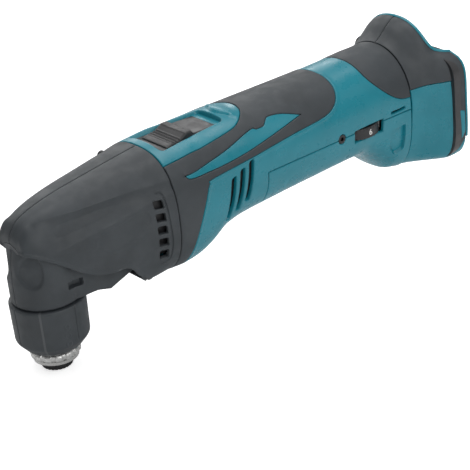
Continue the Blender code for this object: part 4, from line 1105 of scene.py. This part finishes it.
def revolved(name, profile, segments, shape=None):
    """A solid of revolution about the spindle's axis; shape(ring, angles, r, z) may carve it."""
    angles = np.linspace(0, 2 * math.pi, segments, endpoint=False)
    rings = []
    for r, z in profile:
        ring = np.stack([r * np.cos(angles), r * np.sin(angles), np.full(segments, z)], -1)
        rings.append(shape(ring, angles, r, z) if shape else ring)
    return grid_object(name, np.array(rings), close_along=True)


def narrowed(ring, share):
    """A ring's points drawn in towards the axis."""
    return ring * np.stack([share, share, np.ones_like(share)], -1)


def round_part(node):
    """The bottom, top and radius of a CAD part that stands on the spindle's axis."""
    low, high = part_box(node)
    return (low.z - TOOL_ORIGIN.z) / MM, (high.z - TOOL_ORIGIN.z) / MM, (high.x - low.x) / 2 / MM


def rounded_profile(corners, radius=0.4, dense=0.5):
    """A closed profile with rounded corners and points all along it."""
    loop = rounded_loop(corners, radius)
    return resampled(np.concatenate([loop, loop[:1]]), dense)[:-1]


def guard_collar():
    corners = [(14.0, -32.0), (18.9, -32.0), (18.4, -52.4), (14.3, -57.4), (13.3, -57.4), (13.3, -40.0)]
    profile = rounded_profile(corners, 1.1, 0.45)
    seams = (math.pi, -math.pi / 2 + 0.17)

    def shape(ring, angles, r, z):
        if r < 13.6:
            return ring
        depth = np.zeros_like(angles)
        for seam in seams:
            away = np.abs((angles - seam + math.pi) % (2 * math.pi) - math.pi) * COLLAR_RADIUS
            low = -50.0 if seam != math.pi else -70.0
            depth += 0.45 * (1 - step_between(away, 0.05, 0.5)) * step_between(z, low - 1.0, low)
        marks = 0.0
        for k in range(3):
            spot_z, spot_angle = -41.5 - 4.6 * k, seams[1] - 0.3
            away = np.abs((angles - spot_angle + math.pi) % (2 * math.pi) - math.pi) * COLLAR_RADIUS
            ring_distance = np.abs(np.hypot(away, z - spot_z) - 1.3)
            marks = marks + 0.28 * (1 - step_between(ring_distance, 0.2, 0.6))
        return narrowed(ring, 1 - (depth - marks) / r)

    collar = revolved("guard_collar_shell", profile, 420, shape)
    finish_piece(collar, "housing", RUBBER, "soft_grip", "guard_collar")


def drive_flange():
    bottom, top, radius = round_part("drive_flange")
    corners = [
        (5.8, top), (9.4, top), (11.6, top - 1.0), (radius, top - 2.2), (radius, bottom + 2.6),
        (11.4, bottom + 1.9), (11.4, bottom), (9.2, bottom), (9.2, bottom + 0.3), (3.4, bottom + 0.3),
        (3.4, top - 2.0), (5.8, top - 1.6),
    ]  # fmt: skip
    profile = rounded_profile(corners, 0.35, 0.3)
    teeth = 14

    def shape(ring, angles, r, z):
        if r < 10.6 or z < bottom + 1.9:
            return ring
        wave = np.cos(angles * teeth)
        notch = 0.85 * step_between(wave, 0.15, 0.6) * step_between(r, 10.6, 11.6)
        return narrowed(ring, 1 - notch / r)

    flange = revolved("drive_flange_disc", profile, 336, shape)
    finish_piece(flange, "spindle", MATERIALS["bright_steel"], "bright_steel", "drive_flange")


def clamp_flange():
    bottom, top, radius = round_part("clamp_flange")
    corners = [(3.4, top), (radius, top), (radius, bottom + 0.2), (radius - 0.3, bottom), (3.4, bottom)]
    washer = revolved("clamp_flange_disc", rounded_profile(corners, 0.25, 0.3), 192)
    finish_piece(washer, "clamp_washer", MATERIALS["black_steel"], "black_steel", "clamp_flange")


def clamp_bolt():
    bottom, top, radius = round_part("clamp_bolt")
    head_top = bottom + 2.4
    thread = []
    for i, z in enumerate(np.arange(head_top + 3.0, top - 0.6, 0.25)):
        thread.append((2.72 + 0.26 * math.cos(i * math.pi / 2), z))
    profile = [(0.05, top), (2.3, top), (2.75, top - 0.5)] + thread[::-1]
    profile += [
        (2.95, head_top + 2.6), (2.95, head_top), (radius - 0.4, head_top), (radius - 0.1, head_top - 0.15),
        (radius, head_top - 0.45), (radius, bottom + 0.6), (radius - 0.25, bottom + 0.15),
        (radius - 0.7, bottom),
        (4.3, bottom), (4.0, bottom + 0.12), (3.85, bottom + 0.35), (3.8, bottom + 1.7), (0.05, bottom + 1.9),
    ]  # fmt: skip

    def shape(ring, angles, r, z):
        if 3.75 < r < 4.35 and z < bottom + 1.75:
            sixth = math.pi / 3
            local = (angles + sixth / 2) % sixth - sixth / 2
            return narrowed(ring, 3.4 / np.cos(local) / 4.0)
        if r > radius - 0.8 and z < head_top:
            flute = 0.3 * step_between(np.cos(angles * 24), 0.2, 0.8)
            return narrowed(ring, 1 - flute / r)
        return ring

    bolt = revolved("clamp_bolt_screw", profile, 240, shape)
    finish_piece(bolt, "clamp_screw", MATERIALS["black_steel"], "black_steel", "clamp_bolt")


def chin():
    """The slanted plate behind the head's lower lip, with the work light's opening."""
    foot, crown = (43.6, -32.2), (52.6, -41.0)
    run = math.hypot(crown[0] - foot[0], crown[1] - foot[1])
    plane = Flat((foot[0], 0, foot[1]), (crown[0] - foot[0], 0, crown[1] - foot[1]), (0, -1, 0))
    edge = []
    for t in np.linspace(0, 1, 12):
        x, z = foot[0] + (crown[0] - foot[0]) * t, foot[1] + (crown[1] - foot[1]) * t
        u, v = BODY.across([(x, z)], 2)[0]
        half = abs(BODY.point(np.array([u]), np.array([v]))[0, 1]) - 1.4
        edge.append((run * t, max(half, 3.0)))
    outer = joined(edge, mirrored(edge[::-1]), edge[:1])
    opening = rounded_loop([(2.2, -7.4), (8.2, -7.4), (8.2, 7.4), (2.2, 7.4)], 1.2)
    loops = [[(outer, True)], closed_loop(opening)]
    plate = shell("head_chin_plate", plane, loops, thick=1.6, rounding=0.5, cell=1.2)
    finish_piece(plate, "housing", RUBBER, "soft_grip")


# ---- Speed dial --------------------------------------------------------------------------------------------


def speed_dial():
    """A knurled wheel with its numbers round the rim, seen through the window on the left."""
    low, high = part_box("speed_dial")
    centre = (np.array((low + high) / 2) - np.array(TOOL_ORIGIN)) / MM
    radius = (high.x - low.x) / 2 / MM
    half = (high.z - low.z) / 2 / MM
    profile = rounded_profile([(3.2, -half), (radius, -half), (radius, half), (3.2, half)], 0.5, 0.4)
    angles = np.linspace(0, 2 * math.pi, 360, endpoint=False)
    rings = []
    for r, z in profile:
        knurled = (r > radius - 0.3) * (abs(z) > half - 1.0)
        size = r - 0.35 * step_between(np.cos(angles * 40), 0.3, 0.8) * knurled
        rings.append(centre + np.stack([size * np.cos(angles), size * np.sin(angles), np.full(360, z)], -1))
    wheel = grid_object("speed_dial_wheel", np.array(rings), close_along=True)
    finish_piece(wheel, "dial", BLACK, "black_plastic", "speed_dial")
    white = moulded("dial_print", (0.82, 0.82, 0.8), 0.5, 0.4, 0.01, wear=0.0, mottling=0.02)
    up = Vector((0, 0, 1))
    for number in range(1, 7):
        angle = math.radians(-90 + (6 - number) * 50)
        text = bpy.data.curves.new(f"dial_number_{number}", "FONT")
        text.body = str(number)
        text.size = 4.6 * MM
        text.extrude = 0.12 * MM
        text.align_x = "CENTER"
        text.align_y = "CENTER"
        holder = bpy.data.objects.new(f"dial_number_{number}", text)
        bpy.context.scene.collection.objects.link(holder)
        outward = Vector((math.cos(angle), math.sin(angle), 0))
        along = Vector((-math.sin(angle), math.cos(angle), 0))
        place = TOOL_ORIGIN + Vector(centre) * MM + outward * (radius * MM)
        turn = Matrix((along, up, outward)).transposed().to_4x4()
        holder.matrix_world = Matrix.Translation(place) @ turn
        bpy.context.view_layer.update()
        mesh = bpy.data.meshes.new_from_object(holder.evaluated_get(bpy.context.evaluated_depsgraph_get()))
        mesh.transform(holder.matrix_world)
        bpy.data.objects.remove(holder)
        figure = bpy.data.objects.new(f"speed_dial_number_{number}", mesh)
        bpy.context.scene.collection.objects.link(figure)
        finish_piece(figure, "dial", white, "black_plastic")


# ---- Battery end -------------------------------------------------------------------------------------------


def swept(name, path, half_width, half_height, up_hint):
    """A rounded strip along a path, for the trim round the hood."""
    path = resampled(path, 0.8)
    tangent = np.gradient(path, axis=0)
    tangent /= np.linalg.norm(tangent, axis=1, keepdims=True)
    side = np.cross(tangent, up_hint)
    side /= np.linalg.norm(side, axis=1, keepdims=True)
    up = np.cross(side, tangent)
    angles = np.linspace(0, 2 * math.pi, 16, endpoint=False)
    wide = np.sign(np.cos(angles)) * np.abs(np.cos(angles)) ** 0.5 * half_width
    tall = np.sign(np.sin(angles)) * np.abs(np.sin(angles)) ** 0.5 * half_height
    grid = path[:, None] + side[:, None] * wide[None, :, None] + up[:, None] * tall[None, :, None]
    return grid_object(name, grid)


def rear_shells():
    """Each side's dark skin and teal panel, the trim round the hood, the rail patches and the rear edges."""
    seam_u = REAR.to_u(NECK_SEAM_X + SEAM)
    end_u = REAR.to_u(RAIL_LOW[1][0])
    rim = REAR.across(HOOD_RIM, 2)
    hood_u = REAR.to_u(240.0)
    low_edge = REAR.across(resampled([(NECK_SEAM_X + SEAM, 8.2), RAIL_FRONT[0]], 2), 2)
    rail_front = REAR.across(resampled(RAIL_FRONT, 2), 2)
    rail_low = REAR.across(resampled(RAIL_LOW, 2), 2)
    rear_edge = REAR.across(resampled([RAIL_LOW[1], (252.2, 22.2)], 2), 2)
    gap = 0.16
    dark = joined(
        [(seam_u, SEAM)], low_edge, rail_front[1:], rail_low[1:], rear_edge[1:], rim[::-1][1:],
        [(hood_u, SEAM), (seam_u, SEAM)],
    )  # fmt: skip
    teal = joined(
        [(seam_u, BOTTOM - SEAM)], low_edge + (0, gap), rail_front[1:] + (-gap, gap * 0.3),
        rail_low[1:] + (gap, gap * 1.5), rear_edge[:1] + (0, gap * 2), [(end_u, BOTTOM - SEAM)],
        [(seam_u, BOTTOM - SEAM)],
    )  # fmt: skip
    for side, sign in SIDES:
        screws = screw_holes(REAR, "rear_screw_1") if sign < 0 else []
        name = f"rear_overmould_{side}"
        loops = [[(dark * (1, sign), True)]] + screws
        skin = shell(f"{name}_skin", REAR, loops, cell=1.15, rounding=0.55, lift=0.1, thick=2.0)
        finish_piece(skin, "housing", RUBBER, "soft_grip", name)
        screws = screw_holes(REAR, "rear_screw_2") if sign < 0 else []
        name = f"rear_housing_{side}"
        loops = [[(teal * (1, sign), True)]] + screws
        panel = shell(f"{name}_shell", REAR, loops, cell=1.15, rounding=0.5)
        finish_piece(panel, "housing", TEAL, "teal_plastic", name)
    over = REAR.point(np.full(40, hood_u), np.linspace(rim[0][1], 0, 40))
    down = REAR.point(rim[:, 0], rim[:, 1])[::-1]
    left = joined(down, over[1:])
    path = joined(left, (left * (1, -1, 1))[::-1][1:]) + (0.5, 0, 0)
    trim = swept("rear_housing_trim", path, 0.75, 0.8, np.array((1.0, 0.0, 0.35)))
    finish_piece(trim, "housing", TEAL, "teal_plastic")
    for side, sign in SIDES:
        corners = [(248.2, -8.0), (251.2, -9.0), (251.4, -21.0), (249.2, -25.5)]
        loop = rounded_loop(REAR.across(corners, 2, sign), 0.4)
        patch = shell(f"rail_patch_{side}", REAR, [closed_loop(loop)], lift=0.35, thick=0.6, rounding=0.2)
        finish_piece(patch, "housing", TEAL, "teal_plastic")
    for side, sign in SIDES:
        edge = REAR.point(rear_edge[:, 0], rear_edge[:, 1] * sign) + (0.2, 0, 0)
        strip = swept(f"rear_edge_{side}", edge, 0.5, 0.6, np.array((1.0, 0.0, 0.0)))
        finish_piece(strip, "housing", TEAL, "teal_plastic")


def section_outline(surface, x, inset, count=220):
    """(y, z) of the section at x, moved inwards."""
    u = np.full(count, surface.to_u(x))
    v = np.linspace(-BOTTOM, BOTTOM, count, endpoint=False)
    points = surface.point(u, v)
    middle = np.array([x, 0, -4.0])
    away = points - middle
    size = np.linalg.norm(away, axis=1, keepdims=True)
    points = middle + away * (1 - inset / size)
    return points[:, 1:]


def facing_back(x):
    """A plane across the tool at x, facing backwards."""
    plane = Flat((x, 0, 0), (0, 1, 0), (0, 0, 1))
    plane.normal = lambda u, v: np.tile((1.0, 0.0, 0.0), (len(u), 1))
    return plane


def battery_interface():
    """The rear face with its slot, rails and terminals' opening, the wall behind the hood and the top."""
    foot = Surface(FOOT_SECTIONS)
    outline = section_outline(foot, 252.0, 1.0)
    slot_half, slot_top = 23.0, 12.0
    inside = (np.abs(outline[:, 0]) < slot_half) & (outline[:, 1] < 0)
    outline = outline[~inside]
    outline = outline[np.argsort(np.arctan2(outline[:, 0], outline[:, 1] + 4.0))]
    right = outline[outline[:, 0] > 0]
    left = outline[outline[:, 0] <= 0]
    lowest = outline[:, 1].min()
    half = [(slot_half, lowest), (slot_half, slot_top - 3), (slot_half - 3, slot_top)]
    notch = joined(half, [(-y, z) for y, z in half[::-1]])
    loops = [[(joined(left, right, notch, left[:1]), True)]]
    face = shell("battery_interface_face", facing_back(252.4), loops, thick=8.0, rounding=0.8, cell=1.6)
    finish_piece(face, "housing", BLACK, "black_plastic", "battery_interface")

    wall = rounded_loop([(-25.0, -39.5), (25.0, -39.5), (25.0, 13.0), (-25.0, 13.0)], 1.0)
    hole = rounded_loop([(-16.9, -13.9), (16.9, -13.9), (16.9, 7.9), (-16.9, 7.9)], 0.8)
    loops = [closed_loop(wall), closed_loop(hole)]
    slot_wall = shell("battery_interface_wall", facing_back(246.6), loops, thick=1.8, rounding=0.4, cell=1.6)
    finish_piece(slot_wall, "housing", BLACK, "black_plastic")
    for side, sign in SIDES:
        y = sorted((sign * 23.2, sign * 19.6))
        rail = slab(f"battery_rail_{side}", (249.8, y[0], -38.0), (251.9, y[1], 6.0), 0.5)
        finish_piece(rail, "housing", BLACK, "black_plastic")

    ring = section_outline(REAR, 239.6, 1.6)
    ring = ring[ring[:, 1] > 18.0]
    ring = ring[np.argsort(ring[:, 0])]
    loops = [closed_loop(joined(ring, [(ring[-1][0], 18.0), (ring[0][0], 18.0)]))]
    hood_wall = shell("hood_wall", facing_back(239.4), loops, thick=1.6, rounding=0.4, cell=1.6)
    finish_piece(hood_wall, "housing", BLACK, "black_plastic")

    front, rear = foot.to_u(239.0), foot.to_u(252.0)
    corner = foot.across([(239.0, 23.0), (252.0, 21.6)], 2)
    half = [(front, corner[0][1]), (rear, corner[1][1])]
    loops = [closed_loop(joined(half, mirrored(half[::-1])))]
    cap = shell("battery_interface_top", foot, loops, thick=2.0, rounding=0.5, cell=1.4, lift=-0.3)
    finish_piece(cap, "housing", BLACK, "black_plastic")


# ---- Stage, light and camera -------------------------------------------------------------------------------

CAMERA_AZIMUTH = math.radians(-37.2)
CAMERA_ELEVATION = math.radians(26.2)
CAMERA_ROLL = math.radians(5.9)
CAMERA_DISTANCE = 0.871
CAMERA_LENS = 127.4
CAMERA_AIM = TOOL_ORIGIN + Vector((117.0, 0, -44.9)) * MM


def stage_material(name, colour, glow):
    """A pale surface that glows to the camera only, so that it looks white and keeps its shadows."""
    material = bpy.data.materials.new(name)
    material.use_nodes = True
    tree = material.node_tree
    shader = tree.nodes["Principled BSDF"]
    noise = tree.nodes.new("ShaderNodeTexNoise")
    noise.inputs["Scale"].default_value = 30
    tone = tree.nodes.new("ShaderNodeMapRange")
    tone.inputs["To Min"].default_value = colour - 0.01
    tone.inputs["To Max"].default_value = colour
    tree.links.new(noise.outputs["Fac"], tone.inputs["Value"])
    tree.links.new(tone.outputs["Result"], shader.inputs["Base Color"])
    shader.inputs["Roughness"].default_value = 0.9
    shader.inputs["Specular IOR Level"].default_value = 0.0
    path = tree.nodes.new("ShaderNodeLightPath")
    strength = tree.nodes.new("ShaderNodeMath")
    strength.operation = "MULTIPLY"
    strength.inputs[1].default_value = glow
    tree.links.new(path.outputs["Is Camera Ray"], strength.inputs[0])
    shader.inputs["Emission Color"].default_value = (1, 1, 1, 1)
    tree.links.new(strength.outputs[0], shader.inputs["Emission Strength"])
    return material


def floor():
    half = 4.0
    mesh = bpy.data.meshes.new("floor")
    corners = [(-half, -half, 0), (half, -half, 0), (half, half, 0), (-half, half, 0)]
    mesh.from_pydata(corners, [], [(0, 1, 2, 3)])
    obj = bpy.data.objects.new("floor", mesh)
    bpy.context.scene.collection.objects.link(obj)
    obj.data.materials.append(stage_material("floor_white", 0.9, 0.62))
    obj.location.z = -0.0004
    obj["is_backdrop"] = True


def world(level):
    """Even pale light, seen as white by the camera and through glass."""
    background = bpy.data.worlds.new("studio")
    bpy.context.scene.world = background
    background.use_nodes = True
    tree = background.node_tree
    shader = tree.nodes["Background"]
    path = tree.nodes.new("ShaderNodeLightPath")
    seen = tree.nodes.new("ShaderNodeMath")
    seen.operation = "MAXIMUM"
    tree.links.new(path.outputs["Is Camera Ray"], seen.inputs[0])
    tree.links.new(path.outputs["Is Transmission Ray"], seen.inputs[1])
    strength = tree.nodes.new("ShaderNodeMapRange")
    strength.inputs["To Min"].default_value = level
    strength.inputs["To Max"].default_value = 1.0
    tree.links.new(seen.outputs[0], strength.inputs["Value"])
    tree.links.new(strength.outputs["Result"], shader.inputs["Strength"])
    shader.inputs["Color"].default_value = (1, 1, 1, 1)


def lamp(name, size, power, place, aim=(0, 0, 0.06)):
    data = bpy.data.lights.new(name, "AREA")
    data.shape = "RECTANGLE"
    data.size, data.size_y = size
    data.energy = power
    obj = bpy.data.objects.new(name, data)
    bpy.context.scene.collection.objects.link(obj)
    obj.location = place
    obj.rotation_euler = (Vector(aim) - Vector(place)).to_track_quat("-Z", "Y").to_euler()


def lights():
    world(0.34)
    lamp("top_softbox", (0.9, 0.7), 5.2, (0.14, 0.2, 0.95))
    lamp("left_panel", (0.7, 0.9), 3.6, (-0.15, -1.0, 0.6), (0.08, 0, 0.06))
    lamp("back_strip", (1.1, 0.3), 3.0, (0.25, 0.95, 0.5))
    lamp("rear_fill", (0.5, 0.5), 1.1, (0.35, -0.6, 0.75), (0.1, 0, 0.08))


def camera():
    data = bpy.data.cameras.new("camera")
    data.sensor_width = 36.0
    data.lens = CAMERA_LENS
    data.clip_start = 0.01
    obj = bpy.data.objects.new("camera", data)
    bpy.context.scene.collection.objects.link(obj)
    across = Vector((math.cos(CAMERA_AZIMUTH), math.sin(CAMERA_AZIMUTH), 0))
    back = Vector((
        math.sin(CAMERA_AZIMUTH) * math.cos(CAMERA_ELEVATION),
        -math.cos(CAMERA_AZIMUTH) * math.cos(CAMERA_ELEVATION),
        math.sin(CAMERA_ELEVATION),
    ))  # fmt: skip
    up = back.cross(across)
    right = across * math.cos(CAMERA_ROLL) - up * math.sin(CAMERA_ROLL)
    up = back.cross(right)
    axes = Matrix((right, up, back)).transposed().to_4x4()
    obj.matrix_world = Matrix.Translation(CAMERA_AIM + back * CAMERA_DISTANCE) @ axes
    bpy.context.scene.camera = obj


give_cad_materials()
head_covers()
nose_plates()
vent_liners()
chin()
stripe_holes = grip_overmould()
main_housing(stripe_holes)
lower_cover()
neck_overmould()
panel_tray()
switch_button()
gear_covers()
guard_collar()
drive_flange()
clamp_flange()
clamp_bolt()
speed_dial()
rear_shells()
battery_interface()
floor()
lights()
camera()
bpy.context.scene.view_settings.view_transform = "Standard"

for bounds in (CAD_BOX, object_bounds()):
    [list(corner) for corner in bounds]
